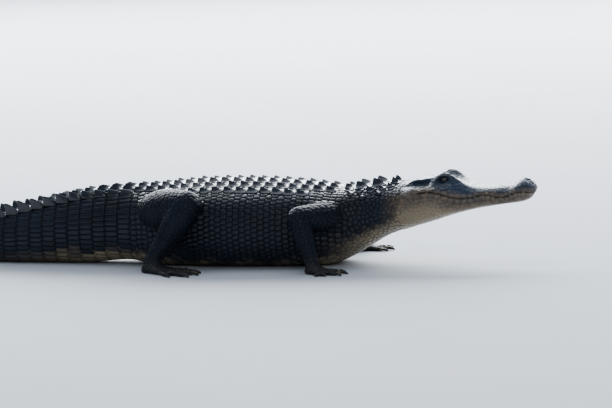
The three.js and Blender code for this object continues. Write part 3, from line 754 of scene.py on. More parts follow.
# Wet hide is dark slate on the back, buff below and tan along the jaws, with painted sky reflection in
# blue on the head and painted shade at scale rims and the mouth.
slate = (0.0065, 0.0095, 0.0165, 1)
slate_light = (0.017, 0.026, 0.044, 1)
painted_sky_blue = (0.020, 0.031, 0.053, 1)
painted_sky_blue_light = (0.042, 0.062, 0.102, 1)
jaw_tan = (0.25, 0.180, 0.115, 1)
buff = (0.42, 0.34, 0.225, 1)
jaw_brown = (0.125, 0.098, 0.070, 1)
# Painted shade: the near-black that scale rims and the mouth line are darkened towards
painted_shade_colour = (0.006, 0.006, 0.006, 1)
broad_scale, mottle_scale, pore_scale, mottle_rough = 9, 70, 230, 0.14


def hide_finish(rough, fine, wet, shine=0.5, crowned=True):
    """Wet hide: how rough, how fine its grain is, how wet it lies, and whether it is scales."""
    def build(wire, shader):
        broad = noise(wire, broad_scale, 4)
        mottle = noise(wire, mottle_scale, 3)
        dark = blend(wire, spread_out(wire, broad, 0.35, 0.7), slate, slate_light)
        if crowned:
            dark = blend(wire, attribute(wire, "tone") * 0.35, dark, slate_light)
        # Painted sky reflection: the head's hide is coloured bluer where the fore mark says
        painted_sky_tint = blend(wire, spread_out(wire, broad, 0.35, 0.7), painted_sky_blue, painted_sky_blue_light)
        dark = blend(wire, attribute(wire, "fore"), dark, painted_sky_tint)
        jaw = blend(wire, spread_out(wire, mottle, 0.35, 0.65), jaw_tan, jaw_brown)
        colour = blend(wire, attribute(wire, "warm") * 0.75, dark, jaw)
        pale = attribute(wire, "pale") * spread_out(wire, mottle, 0.3, 0.6, 0.7, 1.0)
        colour = blend(wire, pale, colour, buff)
        # Painted shade: scales are darkened towards their rims by the crown mark, and bare hide along
        # the mouth groove
        painted_shade = 1 - attribute(wire, "crown") if crowned else attribute(wire, "groove")
        colour = blend(wire, painted_shade, colour, painted_shade_colour)
        grain = noise(wire, fine, 2, 0.6) * 0.5 + noise(wire, pore_scale, 3, 0.6) * 0.8
        bump = wire.node("ShaderNodeBump", {}, {"Strength": 0.4, "Distance": 0.0009, "Height": grain})
        feed(wire, shader, Specular_IOR_Level=shine)
        feed(wire, shader, Base_Color=colour, Normal=bump, Coat_Weight=wet, Coat_Roughness=0.1)
        uneven = spread_out(wire, mottle, 0.3, 0.7, rough, rough + mottle_rough)
        feed(wire, shader, Roughness=uneven)
    return build


# The fore mark carries the painted sky reflection on the head
pale, warm, fore = markings(points)
# The groove mark darkens the mouth line as painted shade
for label, values in (("pale", pale), ("warm", warm), ("fore", fore), ("groove", mouth_groove_and_shade)):
    layer = hide.data.attributes.new(label, "FLOAT", "POINT")
    layer.data.foreach_set("value", values.astype(np.float32))
hide.data.shade_smooth()
bare_hide = hide_finish(rough=0.48, fine=900, wet=0.0, shine=0.3, crowned=False)
bare_finish = finish("wet_hide", bare_hide)
hide.data.materials.append(bare_finish)
flesh = [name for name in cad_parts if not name.startswith("eye")]
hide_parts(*flesh)
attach(hide, "root")


# Scutes and scales: horn over soft hide. Those of the back, the belly and the tail are rooted in
# cross rows, and the neck, the limbs and the head are packed with small ones in between. Every
# scale grows until it meets its neighbours.
seeds = {name: [] for name in ("point", "way", "long", "broad", "rim", "keel", "kind")}
NAPE, SHIELD, TAIL, FLANK, BELLY, SOFT, LIMB, HEAD, LABIAL, BARE = range(10)
half_round = np.linspace(np.pi / 2, -np.pi / 2, 181)


def sow(points, ways, long, broad, rim, keel, kind):
    count = len(points)
    seeds["point"].append(np.asarray(points, float))
    seeds["way"].append(np.asarray(ways, float))
    for name, value in (("long", long), ("broad", broad), ("rim", rim), ("keel", keel)):
        seeds[name].append(np.broadcast_to(np.asarray(value, float), count))
    seeds["kind"].append(np.full(count, kind))


def girth_reach(station):
    """How far round from the middle of the back each angle of half a section lies."""
    left, up = body_spot(np.full(half_round.shape, station), half_round)
    return np.append(0, np.cumsum(np.hypot(np.diff(left), np.diff(up))))


def row_spots(station, rounds):
    """Points of one cross row, so far round from the middle of the back, and their angles."""
    at = np.interp(np.abs(rounds), girth_reach(station), half_round)
    left, up = body_spot(np.full(at.shape, station), at)
    turned = heading(station)
    way = np.array([math.cos(turned), -math.sin(turned), 0])
    return place(np.full(at.shape, station), np.sign(rounds) * left, up), np.tile(way, (len(at), 1)), at


def row_reach(station):
    angle = half_round[::2]
    left, up = body_spot(np.full(angle.shape, station), angle)
    return float(np.hypot(np.diff(left), np.diff(up)).sum())


def both(rounds):
    rounds = np.asarray(rounds, float)
    return np.concatenate([rounds, -rounds])


# Nape plates: station, distance round from the midline, length, width and height of the keel
nape_plates = (
    (364, 19, 22, 22, 15), (372, 47, 16, 17, 8), (406, 24, 40, 38, 18), (420, 58, 28, 26, 11),
    (450, 24, 40, 36, 15), (486, 18, 24, 26, 10), (452, 56, 20, 20, 7), (392, 56, 14, 15, 5),
    (398, 78, 13, 14, 4), (440, 84, 14, 15, 4), (484, 44, 18, 18, 6), (474, 68, 15, 16, 4),
)
nape_rim = 3.2
for station, around, length, width, keel in nape_plates:
    spots, ways, _ = row_spots(float(station), both([around]))
    sow(spots, ways, length / 2, width / 2, nape_rim, keel, NAPE)

# The shield of the back, and how far out it reaches at each row
shield_start, shield_pitch = 526, 32
shield_count = (2, 2, 3, 3, 3, 3, 3, 3, 3, 3, 3, 3, 3, 3, 3, 2, 2)
shield_width, shield_sweep = 36.0, 3.5
shield_rim, inner_keel, outer_keel, wide_trunk = 2.4, 10.5, 9.0, 150
shield_edge = []
for row, count in enumerate(shield_count):
    station = shield_start + row * shield_pitch
    broad = shield_width * min(float(body_half_width(station)) / wide_trunk, 1) ** 0.8
    rounds = both((np.arange(count) + 0.5) * broad)
    outer = np.abs(rounds) / (3 * shield_width)
    keel = lerp(inner_keel, outer_keel, outer) * rng.uniform(0.9, 1.1, len(rounds))
    for step in range(count):
        pair = slice(step, None, count)
        spots, ways, _ = row_spots(float(station + step * shield_sweep), rounds[pair])
        size = broad / 2 * lerp(1, 0.95, outer[pair])
        sow(spots, ways, shield_pitch / 2, size, shield_rim, keel[pair], SHIELD)
    shield_edge.append((station, count * broad))
shield_edge = profile((500, 34), *shield_edge, (1075, 52))

# Whorls of the tail: the crest's fins stand in them, with keeled plates between the two rows of
# fins and oblong ones round the sides.
crest_out = profile((1080, 50), (1170, 42), (1262, 34), (1420, 21), (1600, 10), (1740, 0))
crest_height = profile(
    (1080, 11), (1170, 17), (1262, 24), (1354, 30), (1500, 34), (1720, 37), (1900, 33),
    (2050, 24), (2180, 13), (2232, 8),
)
crest_pitch = profile((1080, 36), (1420, 35.5), (1900, 31), (2232, 25))
crest_start, crest_merge, crest_end = 1075, 1735, total_length - 16
middle_width, middle_rim, wide_tail = 21, 2.2, 85
crest_thick, crest_thin, least_crest = 1080, 1420, 16
whorls = [crest_start]
while whorls[-1] + crest_pitch(whorls[-1]) < crest_end:
    whorls.append(float(whorls[-1] + crest_pitch(whorls[-1])))
for station in whorls:
    pitch = float(crest_pitch(station))
    scaled = min(float(body_half_width(station)) / wide_tail, 1)
    crest = float(crest_out(station)) if station < crest_merge else 0
    thinning = ease(station, crest_thick, crest_thin)
    edge = crest + lerp(11, 3, thinning)
    reach = row_reach(station)
    if crest > least_crest:
        middle = crest - lerp(11, 5, thinning)
        count = max(1, round(middle / middle_width))
        rounds = both((np.arange(count) + 0.5) * middle / count)
        spots, ways, _ = row_spots(station, rounds)
        keel = lerp(9.5, 12.5, ease(station, 1120, 1200)) * rng.uniform(0.9, 1.1, len(rounds))
        keel = keel * (1 - 0.4 * ease(station, 1260, 1400))
        sow(spots, ways, pitch / 2, middle / count / 2, middle_rim, keel, SHIELD)
    wide = lerp(13.5, 9, ease(station, 1100, 2100))
    count = max(1, round((reach - edge) / wide))
    each = (reach - edge) / count
    rounds = both(edge + (np.arange(count) + 0.5) * each)
    spots, ways, angle = row_spots(station, rounds)
    keel = 2.6 * np.clip(np.degrees(angle) / 50, 0, 1) * scaled
    rim = lerp(1.5, 0.6, ease(station, 1100, 2200))
    sow(spots, ways, pitch / 2, each / 2, rim, keel, TAIL)

# Flanks and belly: staggered rows of small rounded scales above, larger square ones below
belly_angle = math.radians(-28)
flank_start, belly_start, trunk_end = 500, 520, 1066
flank_pitch, flank_width = 16.0, 13.5
belly_pitch, belly_width = 24.0, 20.0
for row in range(int((trunk_end - flank_start) / flank_pitch)):
    station = flank_start + row * flank_pitch
    low = float(np.interp(-belly_angle, -half_round, girth_reach(station)))
    start = float(shield_edge(station)) + flank_width / 2
    count = max(2, round((low - start) / flank_width))
    steps = (np.arange(count) + 0.5 * (row % 2)) * (low - start) / count
    rounds = both(start + steps)
    rounds += rng.uniform(-1.2, 1.2, len(rounds))
    spots, ways, _ = row_spots(station + rng.uniform(-1.5, 1.5), rounds)
    size = rng.uniform(0.85, 1.1, len(rounds))
    sow(spots, ways, flank_pitch / 2 * size, flank_width / 2 * size, 1.5 * size, 0.8, FLANK)
for row in range(int((trunk_end - belly_start) / belly_pitch)):
    station = belly_start + row * belly_pitch
    whole = row_reach(station)
    low = float(np.interp(-belly_angle, -half_round, girth_reach(station))) + belly_width * 0.4
    count = max(2, round((whole - low) / belly_width))
    rounds = both(low + (np.arange(count) + 0.5) * (whole - low) / count)
    spots, ways, _ = row_spots(float(station), rounds)
    sow(spots, ways, belly_pitch / 2, belly_width / 2, 0.9, 0, BELLY)

# The scales along both lips, a little longer than high
lip_start, lip_end, from_edge, labial_half = 12.0, 296, 5.5, 5.0
for lower in (False, True):
    lip_at = lip_start
    while lip_at < lip_end:
        length = lerp(10, 17, ease(lip_at, 10, 220))
        middle = np.array([lip_at + length / 2])
        outline = lower_outline(middle) if lower else upper_outline(middle)
        curve = through(outline, 12)[0]
        if lower:
            curve = curve[::-1]
        run = np.append(0, np.cumsum(np.linalg.norm(np.diff(curve, axis=0), axis=1)))
        from_lip = run[-1] - from_edge
        spot = [np.interp(from_lip, run, curve[:, axis]) for axis in (0, 1)]
        for side in (1, -1):
            root = place(middle, side * np.array([spot[0]]), np.array([spot[1]]))
            sow(root, [[1, 0, 0]], length / 2, labial_half, 0.9, 0, LABIAL)
        lip_at += length


def sow_bare(points, ways, half):
    """Sows spots that hold no scale, so that an opening stays clear."""
    sow(points, np.tile(ways, (len(points), 1)), half, half, 0, 0, BARE)


# Bare spots along the line of the mouth and round the other openings
mouth_at = np.arange(4, 303, 3.5)
ring = np.arange(40) / 40 * 2 * np.pi
# station, out, up and half-lengths of each ring of spots
slits = (
    (eye_station, slit_out, slit_up, 11, 6), (eye_station, slit_out, slit_up, 5, 2.5),
    (nostril_station, nostril_out, 221, 4.5, 3), (ear_station, 56, ear_up, 17, 0.8),
)
for side in (1, -1):
    lip = place(mouth_at, side * (lip_out(mouth_at) - 1.5), mouth_height(mouth_at))
    sow_bare(lip, [1.0, 0, 0], 1.3)
    for at, out, up, long, high in slits:
        off = high * np.sin(ring)
        aside, above = (off, 0 * off) if at == nostril_station else (0 * off, off)
        spot = place(at + long * np.cos(ring), side * (out + aside), up + above)
        sow_bare(spot, [1.0, 0, 0], 1.6)
chin_front = np.linspace(-16, 16, 9)
sow_bare(place(np.full(9, 1.5), chin_front, np.full(9, 189.0)), [0, 1.0, 0], 1.3)

placed = {name: np.concatenate(values) for name, values in seeds.items()}

# Seeds that a limb, a lip or the floor covers are dropped, and the rest drawn onto the hide.
seed_reach, floor_clear = 5.5, 2.5
lip_turns_under = -0.35
kept = np.ones(len(placed["point"]), bool)
normals = np.zeros_like(placed["point"])
for i, point in enumerate(placed["point"]):
    near, normal, _, distance = hide_tree.find_nearest(Vector(point))
    open_air = distance < seed_reach or placed["kind"][i] == BARE
    kept[i] = open_air and (near.z > floor_clear or normal.z > -0.4)
    if placed["kind"][i] == LABIAL:
        kept[i] = kept[i] and normal.z > lip_turns_under
    placed["point"][i], normals[i] = near, normal
placed = {name: values[kept] for name, values in placed.items()}
placed["normal"] = normals[kept]

# Soft hide between the rows: spots are thrown at random and kept where there is room, then
# pushed apart until they lie evenly.
# Half the spacing: neck, upper neck, upper limb, lower limb, foot, top of the head and jaws
neck_half, upper_neck_half, limb_halves, head_half, jaw_half = 5.6, 4.9, (5.2, 4.5, 3.7), 4.6, 4.3
head_end, trunk_from = 340, 540


def soft_size(points):
    """Half the spacing of the small scales at each point, in millimetres, and their kind."""
    station, angle, limb, _, _ = on_limb(points)
    half = np.full(len(points), neck_half)
    kind = np.full(len(points), SOFT)
    upper = body_middle(station) < points[:, 2]
    half = np.where(upper & (station < trunk_from), upper_neck_half, half)
    half = np.where(limb >= 0, np.array(limb_halves)[limb % 3], half)
    kind = np.where(limb >= 0, LIMB, kind)
    on_head = station < head_end
    mouth = mouth_height(np.minimum(station, jaw_hinge))
    top = points[:, 2] > mouth + 14
    half = np.where(on_head, np.where(top, head_half, jaw_half), half)
    kind = np.where(on_head, HEAD, kind)
    return half, kind


tries = 100000
lip_back, lip_band, facing_down = 310, 9, -0.3
ear_long, ear_out, ear_wide, ear_high = 19, 54, 9, 2.2
hide.data.calc_loop_triangles()
triangles = np.array([tri.vertices for tri in hide.data.loop_triangles])
a, b, c = (points[triangles[:, i]] for i in range(3))
area = np.linalg.norm(np.cross(b - a, c - a), axis=1) / 2
picked = rng.choice(len(triangles), tries, p=area / area.sum())
u, v = rng.random(tries), rng.random(tries)
u, v = np.where(u + v > 1, 1 - u, u)[:, None], np.where(u + v > 1, 1 - v, v)[:, None]
thrown = a[picked] + (b - a)[picked] * u + (c - a)[picked] * v
upward = np.cross(b - a, c - a)[picked, 2] / (2 * area[picked])
station, left = unplace(thrown)
height = thrown[:, 2] - mouth_height(np.minimum(station, jaw_hinge))
under_lip = (station < lip_back) & (np.abs(height) < lip_band) & (upward < facing_down)
in_ear = np.abs(station - ear_station) < ear_long
in_ear &= np.abs(np.abs(left) - ear_out) < ear_wide
in_ear &= np.abs(thrown[:, 2] - ear_up) < ear_high
thrown = thrown[(thrown[:, 2] > floor_clear) & ~under_lip & ~in_ear]
half, kind = soft_size(thrown)
row_tree = KDTree(len(placed["point"]))
for i, point in enumerate(placed["point"]):
    row_tree.insert(point, i)
row_tree.balance()
packing = 0.92


def room_beside_rows(point, half):
    for near, i, distance in row_tree.find_n(point, 4):
        ahead = abs((point - placed["point"][i]) @ placed["way"][i]) / max(distance, 0.01)
        aside = math.sqrt(1 - min(ahead * ahead, 1))
        reach = min(placed["long"][i] / max(ahead, 0.01), placed["broad"][i] / max(aside, 0.01))
        if distance < packing * (reach + half):
            return False
    return True


cell_size = 12.0
taken = {}
soft = []
for i, point in enumerate(thrown):
    home = tuple((point // cell_size).astype(int))
    near = [
        j for x in (-1, 0, 1) for y in (-1, 0, 1) for z in (-1, 0, 1)
        for j in taken.get((home[0] + x, home[1] + y, home[2] + z), ())
    ]
    close = any(
        np.dot(thrown[j] - point, thrown[j] - point) < (packing * (half[i] + half[j])) ** 2
        for j in near
    )
    if not close and room_beside_rows(point, half[i]):
        taken.setdefault(home, []).append(i)
        soft.append(i)
soft_points, soft_half, soft_kind = thrown[soft], half[soft], kind[soft]

relax_rounds, relax_share, spread_to = 3, 0.3, 1.02
for _ in range(relax_rounds):
    tree = KDTree(len(soft_points))
    for i, point in enumerate(soft_points):
        tree.insert(point, i)
    tree.balance()
    moved = soft_points.copy()
    for i, point in enumerate(soft_points):
        for near, j, distance in tree.find_n(point, 7):
            wanted = spread_to * (soft_half[i] + soft_half[j])
            if j != i and distance < wanted:
                apart = (point - soft_points[j]) / max(distance, 0.1)
                moved[i] += relax_share * (wanted - distance) * apart
        moved[i] = hide_tree.find_nearest(Vector(moved[i]))[0]
    soft_points = moved
soft_normals = np.array([hide_tree.find_nearest(Vector(point))[1] for point in soft_points])
soft_way = on_limb(soft_points)[3]
head_rim, limb_rim, neck_rim = 0.38, 1.0, 1.25
soft_rim = np.select([soft_kind == HEAD, soft_kind == LIMB], [head_rim, limb_rim], neck_rim)
soft_rim = soft_rim * rng.uniform(0.8, 1.15, len(soft_points))
sown = {
    "point": soft_points, "normal": soft_normals, "way": soft_way, "long": soft_half,
    "broad": soft_half, "rim": soft_rim, "keel": np.zeros(len(soft_points)), "kind": soft_kind,
}
spots = {name: np.concatenate([placed[name], values]) for name, values in sown.items()}
spots["way"] -= (spots["way"] * spots["normal"]).sum(1)[:, None] * spots["normal"]
spots["way"] /= np.linalg.norm(spots["way"], axis=1)[:, None]
spots["left"] = np.cross(spots["normal"], spots["way"])

spot_tree = KDTree(len(spots["point"]))
for i, point in enumerate(spots["point"]):
    spot_tree.insert(point, i)
spot_tree.balance()
neighbours = 16
square_most, round_most, least_facing = 1.12, 1.5, 0.02


def cell_reach(chosen, turns, gap):
    """How far each chosen scale reaches in each direction before it meets a neighbour."""
    found = np.array([
        [j for _, j, _ in spot_tree.find_n(spots["point"][i], neighbours + 1)][1:] for i in chosen
    ])
    offset = spots["point"][found] - spots["point"][chosen][:, None]
    way, left = spots["way"][chosen], spots["left"][chosen]
    along = np.einsum("nkc,nc->nk", offset, way)
    aside = np.einsum("nkc,nc->nk", offset, left)
    distance = np.maximum(np.linalg.norm(offset, axis=2), 0.5)
    flat = np.maximum(np.hypot(along, aside), 0.5)
    ahead, across = along / flat, aside / flat

    def support(which):
        long, broad = spots["long"][which], spots["broad"][which]
        if which.ndim == 1:
            long, broad = long[:, None], broad[:, None]
        return 1 / np.hypot(ahead / long, across / broad)

    share = support(chosen) / (support(chosen) + support(found))
    theta = np.arange(turns) / turns * 2 * np.pi
    facing = ahead[..., None] * np.cos(theta) + across[..., None] * np.sin(theta)
    ahead_of = (share * distance)[..., None] / np.maximum(facing, least_facing)
    meet = np.where(facing > least_facing, ahead_of, 1e9)
    long, broad = spots["long"][chosen][:, None], spots["broad"][chosen][:, None]
    square = np.isin(spots["kind"][chosen], (SHIELD, TAIL, BELLY, LABIAL))[:, None]
    power = np.where(square, 6, 2)
    fore, beside = np.abs(np.cos(theta)) / long, np.abs(np.sin(theta)) / broad
    most = np.where(square, square_most, round_most) * (fore**power + beside**power) ** (-1 / power)
    return np.minimum(meet.min(1), most) - gap / 2, theta


def coat_piece(name, corners, faces, roots, spread, level):
    """One object of many joined scales, with the bake's map and the marks its finish reads."""
    mesh = bpy.data.meshes.new(name)
    mesh.from_pydata((corners / 1000).tolist(), [], faces)
    mesh.shade_smooth()
    made = bpy.data.objects.new(name, mesh)
    scene.collection.objects.link(made)
    count = len(roots)
    per = len(corners) // count
    station, angle, limb, _, unwrap = on_limb(roots)
    body_uv = np.stack([station / total_length, (angle / (2 * np.pi) + 0.5) * body_map_high], 1)
    root_uv = np.where((limb >= 0)[:, None], unwrap, body_uv)
    corner_uv = (root_uv[:, None] + scale_map * np.clip(spread, -1, 1)).reshape(-1, 2)
    loops = np.empty(len(mesh.loops), np.int32)
    mesh.loops.foreach_get("vertex_index", loops)
    baked = mesh.uv_layers.new(name="OFBake")
    baked.data.foreach_set("uv", corner_uv[loops].astype(np.float32).ravel())
    # The fore mark is the share of painted sky reflection in blue on the head
    pale, warm, fore = (np.repeat(mark, per) for mark in markings(roots))
    marks = {"pale": pale, "warm": warm, "fore": fore,
             # The crown mark is the share of own colour left by painted shade at each scale's rim
             "tone": np.repeat(rng.random(count), per), "crown": level}
    for label, values in marks.items():
        layer = mesh.attributes.new(label, "FLOAT", "POINT")
        layer.data.foreach_set("value", values.astype(np.float32))
    return made


# Keels: how high along the scale, how far to the side they reach, and how sharply they rise
low_keel = ((-1, -0.78, -0.55, 0.9, 1.1), (0.35, 0.95, 1.0, 0.12, 0.0), 1.0, 1.6)
high_keel = (
    (-1, -0.86, -0.7, -0.5, 0.15, 0.55, 0.86), (0.2, 0.6, 0.95, 1.0, 0.64, 0.27, 0.0), 0.66, 1.15,
)
# A small scale that is drawn too far to reach the hide, over too much of it, is left out
ray_length, sag_most, cramped_most, lowest = 9.0, 0.35, 0.3, 0.2
bent_head, bent_lip, bent_most = 0.2, 0.5, 0.4


def scales(name, chosen, turns, shares, heights, gap, sink, ridge=low_keel, painted_rim_shade=0.7):
    """Joined scales, one to each chosen root. Each is a closed dome, keeled where its root says.

    A dome has so many sides. Shares are its rings as shares of its reach, from the rim inward,
    with a height for each, over a skirt that is sunk into the hide. The gap is that between two
    scales, and the painted rim shade is how much darker a dome's colour is painted at its rim,
    as painted shade between scales.
    """
    chosen = np.asarray(chosen)
    reach, theta = cell_reach(chosen, turns, gap)
    reach = np.maximum(reach, 0.8)
    rim, keel = spots["rim"][chosen], spots["keel"][chosen]
    long, broad = spots["long"][chosen], spots["broad"][chosen]
    shares, heights = np.array([1.0, *shares]), np.array([0.0, *heights])
    radius = reach[:, None, :] * shares[None, :, None]
    along = radius * np.cos(theta)
    aside = radius * np.sin(theta)
    fore = along / long[:, None, None]
    ridge_at, ridge_rise, ridge_reach, ridge_power = ridge
    side_share = np.clip(np.abs(aside) / (ridge_reach * broad[:, None, None]), 0, 1)
    rise = np.interp(fore, ridge_at, ridge_rise) * (1 - side_share) ** ridge_power
    height = rim[:, None, None] * heights[None, :, None]
    height = height + keel[:, None, None] * rise * (heights > 0)[None, :, None]
    height[:, 0, :] = -sink
    centre_height = rim * heights[-1] + keel * np.interp(0, ridge_at, ridge_rise)
    count, rings = len(chosen), len(shares)
    flat_along = np.concatenate([along.reshape(count, -1), np.zeros((count, 1))], 1)
    flat_aside = np.concatenate([aside.reshape(count, -1), np.zeros((count, 1))], 1)
    flat_height = np.concatenate([height.reshape(count, -1), centre_height[:, None]], 1)
    way, left, normal = (spots[key][chosen][:, None] for key in ("way", "left", "normal"))
    base = spots["point"][chosen][:, None] + flat_along[..., None] * way + flat_aside[..., None] * left
    lifted = np.full(base.shape[:2], 1e3)
    for i in range(count):
        outward = Vector(normal[i, 0])
        for k in range(base.shape[1]):
            corner = Vector(base[i, k])
            hit = hide_tree.ray_cast(corner + outward * ray_length, -outward, 2 * ray_length)[0]
            if hit is not None:
                lifted[i, k] = (hit - corner) @ outward
    kind = spots["kind"][chosen]
    most = sag_most * np.minimum(long, broad)[:, None]
    limit = np.select([kind == HEAD, kind == LABIAL], [bent_head, bent_lip], bent_most)
    bent = (np.abs(lifted) > most).mean(1) > limit
    cramped = reach.min(1) < cramped_most * np.minimum(long, broad)
    fits = ~((bent | cramped) & np.isin(kind, (SOFT, LIMB, HEAD, LABIAL)))
    base += np.clip(np.where(lifted > ray_length, 0, lifted), -most, most)[..., None] * normal
    corners = (base + flat_height[..., None] * normal)[fits].reshape(-1, 3)
    corners[:, 2] = np.maximum(corners[:, 2], lowest)
    chosen, flat_along, flat_aside = chosen[fits], flat_along[fits], flat_aside[fits]
    long, broad, count = long[fits], broad[fits], int(fits.sum())
    per = rings * turns + 1
    ring = np.arange(turns)
    after = (ring + 1) % turns
    one = []
    for level in range(rings - 1):
        low, high = level * turns, (level + 1) * turns
        one += np.stack([low + ring, low + after, high + after, high + ring], 1).tolist()
    top = (rings - 1) * turns
    one += [[top + int(i), top + int(j), per - 1] for i, j in zip(ring, after)]
    one.append(list(range(turns))[::-1])
    faces = [[corner + start for corner in face] for start in range(0, count * per, per) for face in one]
    spread = np.stack([flat_along / long[:, None], flat_aside / broad[:, None]], -1)
    # Painted shade: each dome's colour darkens towards its rim and is darkest on the sunk skirt
    level = np.append(np.repeat(heights > 0, turns) * np.repeat(1 - painted_rim_shade * shares**4, turns), 1.0)
    return coat_piece(name, corners, faces, spots["point"][chosen], spread, np.tile(level, count))


kinds = spots["kind"].astype(int)


# Back scutes: bony plates under horn, set in the hide in cross rows, each with a keel that rises
# to the rear. Those of the nape are fewer, larger and sharper. They are the glossiest part.
on_back = np.flatnonzero((kinds == SHIELD) | (kinds == NAPE))
scute_rings = (1.0, 0.92, 0.8, 0.66, 0.5, 0.34, 0.18)
scute_heights = (0.35, 0.9, 1.0, 1.0, 1.0, 1.0, 1.0)
scute_sides, scute_gap, scute_sink = 24, 1.6, 4.0
keel_crease = math.radians(34)
back_scutes = scales(
    "back_scutes", on_back, scute_sides, scute_rings, scute_heights, scute_gap, scute_sink, high_keel,
)
back_scutes.data.set_sharp_from_angle(angle=keel_crease)
scute_finish = finish("wet_scutes", hide_finish(rough=0.20, fine=700, wet=0.8))
back_scutes.data.materials.append(scute_finish)
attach(back_scutes, "root")


# Tail scales: oblong plates of wet horn in whorls round the tail, in line with the fins of the
# crest. They are keeled on the upper side and flat below.
on_tail = np.flatnonzero(kinds == TAIL)
plate_rings, plate_heights = (1.0, 0.85, 0.6, 0.3), (0.4, 1.0, 1.0, 1.0)
plate_sides, plate_gap, scale_sink = 16, 1.3, 1.5
tail_scales = scales(
    "tail_scales", on_tail, plate_sides, plate_rings, plate_heights, plate_gap, scale_sink,
)
scale_finish = finish("wet_scales", hide_finish(rough=0.30, fine=900, wet=0.18, shine=0.42))
tail_scales.data.materials.append(scale_finish)
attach(tail_scales, "root")


# Flank scales: rounded ones of soft horn between the limbs and on the neck, with the flat square
# ones of the belly below them. They lie on the hide edge to edge.
on_flank = np.flatnonzero((kinds == FLANK) | (kinds == BELLY) | (kinds == SOFT))
flank_rings, flank_heights = (1.0, 0.84, 0.5), (0.45, 0.9, 1.0)
flank_sides, flank_gap = 10, 1.1
flank_scales = scales(
    "flank_scales", on_flank, flank_sides, flank_rings, flank_heights, flank_gap, scale_sink,
)
flank_scales.data.materials.append(scale_finish)
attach(flank_scales, "root")


# Leg scales: soft horn, small and duller than the scales of the body, down to the toes. They
# start where a limb stands off the body.
on_legs = np.flatnonzero(kinds == LIMB)
leg_rings, leg_heights = (1.0, 0.82, 0.45), (0.4, 0.88, 1.0)
leg_sides, leg_gap, leg_sink = 8, 1.0, 1.3
leg_scales = scales("leg_scales", on_legs, leg_sides, leg_rings, leg_heights, leg_gap, leg_sink)
leg_finish = finish("wet_legs", hide_finish(rough=0.38, fine=900, wet=0.05, shine=0.28))
leg_scales.data.materials.append(leg_finish)
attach(leg_scales, "root")


# Head scales: thin low ones of horn, close on the bone of the skull and the jaws, with a row of
# longer ones along each lip.
on_head = np.flatnonzero((kinds == HEAD) | (kinds == LABIAL))
head_shares, head_heights = (1.0, 0.88, 0.5), (0.5, 0.95, 1.0)
# The head's scales get less painted shade at their rims
head_sides, head_gap, head_sink, head_painted_rim_shade = 14, 0.4, 1.0, 0.3
head_scales = scales(
    "head_scales", on_head, head_sides, head_shares, head_heights, head_gap, head_sink,
    painted_rim_shade=head_painted_rim_shade,
)
head_finish = finish("wet_head", hide_finish(rough=0.32, fine=900, wet=0.3))
head_scales.data.materials.append(head_finish)
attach(head_scales, "root")


# Crest of the tail: upright fins of horny skin, in two rows that draw together into one. Each
# is a keeled scute drawn up to a blade, steeper behind than in front.
# Sections of a fin, from front to rear: how far ahead, how broad and how high
fin_sections = (
    (0.5, 0.5, 0.12), (0.43, 0.8, 0.45), (0.2, 0.97, 0.74), (-0.04, 1.0, 0.9), (-0.26, 1.0, 1.0),
    (-0.4, 0.95, 0.97), (-0.48, 0.8, 0.7), (-0.52, 0.5, 0.25),
)
# Shares of the half width and of the height round one section, sunk in the hide at both ends
fin_outline = ((-1, -7), (-0.94, 0.1), (-0.55, 0.42), (-0.2, 0.84), (0, 1.0), (0.2, 0.84),
               (0.55, 0.42), (0.94, 0.1), (1, -7))
fin_lean, fin_fill, fin_sweep = 0.45, 0.97, 0.1
front_fin, rear_fin, single_fin = 24, 10, 8
fin_corners, fin_faces, fin_roots, fin_spread, fin_unshaded_share = [], [], [], [], []
for station in whorls:
    pitch = float(crest_pitch(station))
    single = station >= crest_merge
    width = single_fin if single else lerp(front_fin, rear_fin, ease(station, crest_thick, crest_thin))
    for side in (0,) if single else (1, -1):
        around = side * float(crest_out(station)) if side else 0.01
        root, way, _ = row_spots(station, np.array([around]))
        root, way = root[0], way[0]
        normal = np.array(hide_tree.find_nearest(Vector(root))[1])
        up = lerp(normal, np.array([0, 0, 1.0]), fin_lean)
        up -= up @ way * way
        up /= np.linalg.norm(up)
        left = np.cross(up, way)
        tall = float(crest_height(station)) * rng.uniform(0.92, 1.06)
        rings = []
        for ahead, breadth, crest in fin_sections:
            for across, high in fin_outline:
                rise = high if high < 0 else high * crest * tall
                swept = ahead * pitch * fin_fill - fin_sweep * max(rise, 0) ** 2 / tall
                rings.append(root + way * swept + left * across * breadth * width / 2 + up * rise)
                fin_spread.append((ahead, across))
                # Painted shade: each fin darkens towards its foot and most where it is sunk in the hide
                fin_unshaded_share.append(0.1 if high < 0 else 0.3 + 0.7 * high)
        corners, faces = loft(np.array(rings).reshape(len(fin_sections), len(fin_outline), 3))
        base = len(fin_roots) * len(corners)
        fin_corners.append(corners)
        fin_faces += [[base + i for i in face] for face in faces]
        fin_roots.append(root)
tail_crest = coat_piece(
    "tail_crest", np.concatenate(fin_corners), fin_faces, np.array(fin_roots),
    np.array(fin_spread).reshape(len(fin_roots), -1, 2), np.array(fin_unshaded_share),
)
tail_crest.data.materials.append(scute_finish)
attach(tail_crest, "root")


# Eyes: glass balls set deep under the brow, one to a side. They are a dark olive, with an upright
# slit of a pupil that looks outward and a little ahead.
pupil_ahead, pupil_up = 0.0015, 0.0010
pupil_half, pupil_long = 1.25, 6.0
pupil_black = (0.002, 0.002, 0.002, 1)
iris_dark, iris_olive, iris_rim = (
    (0.020, 0.020, 0.009, 1), (0.095, 0.088, 0.040, 1), (0.02, 0.018, 0.010, 1),
)


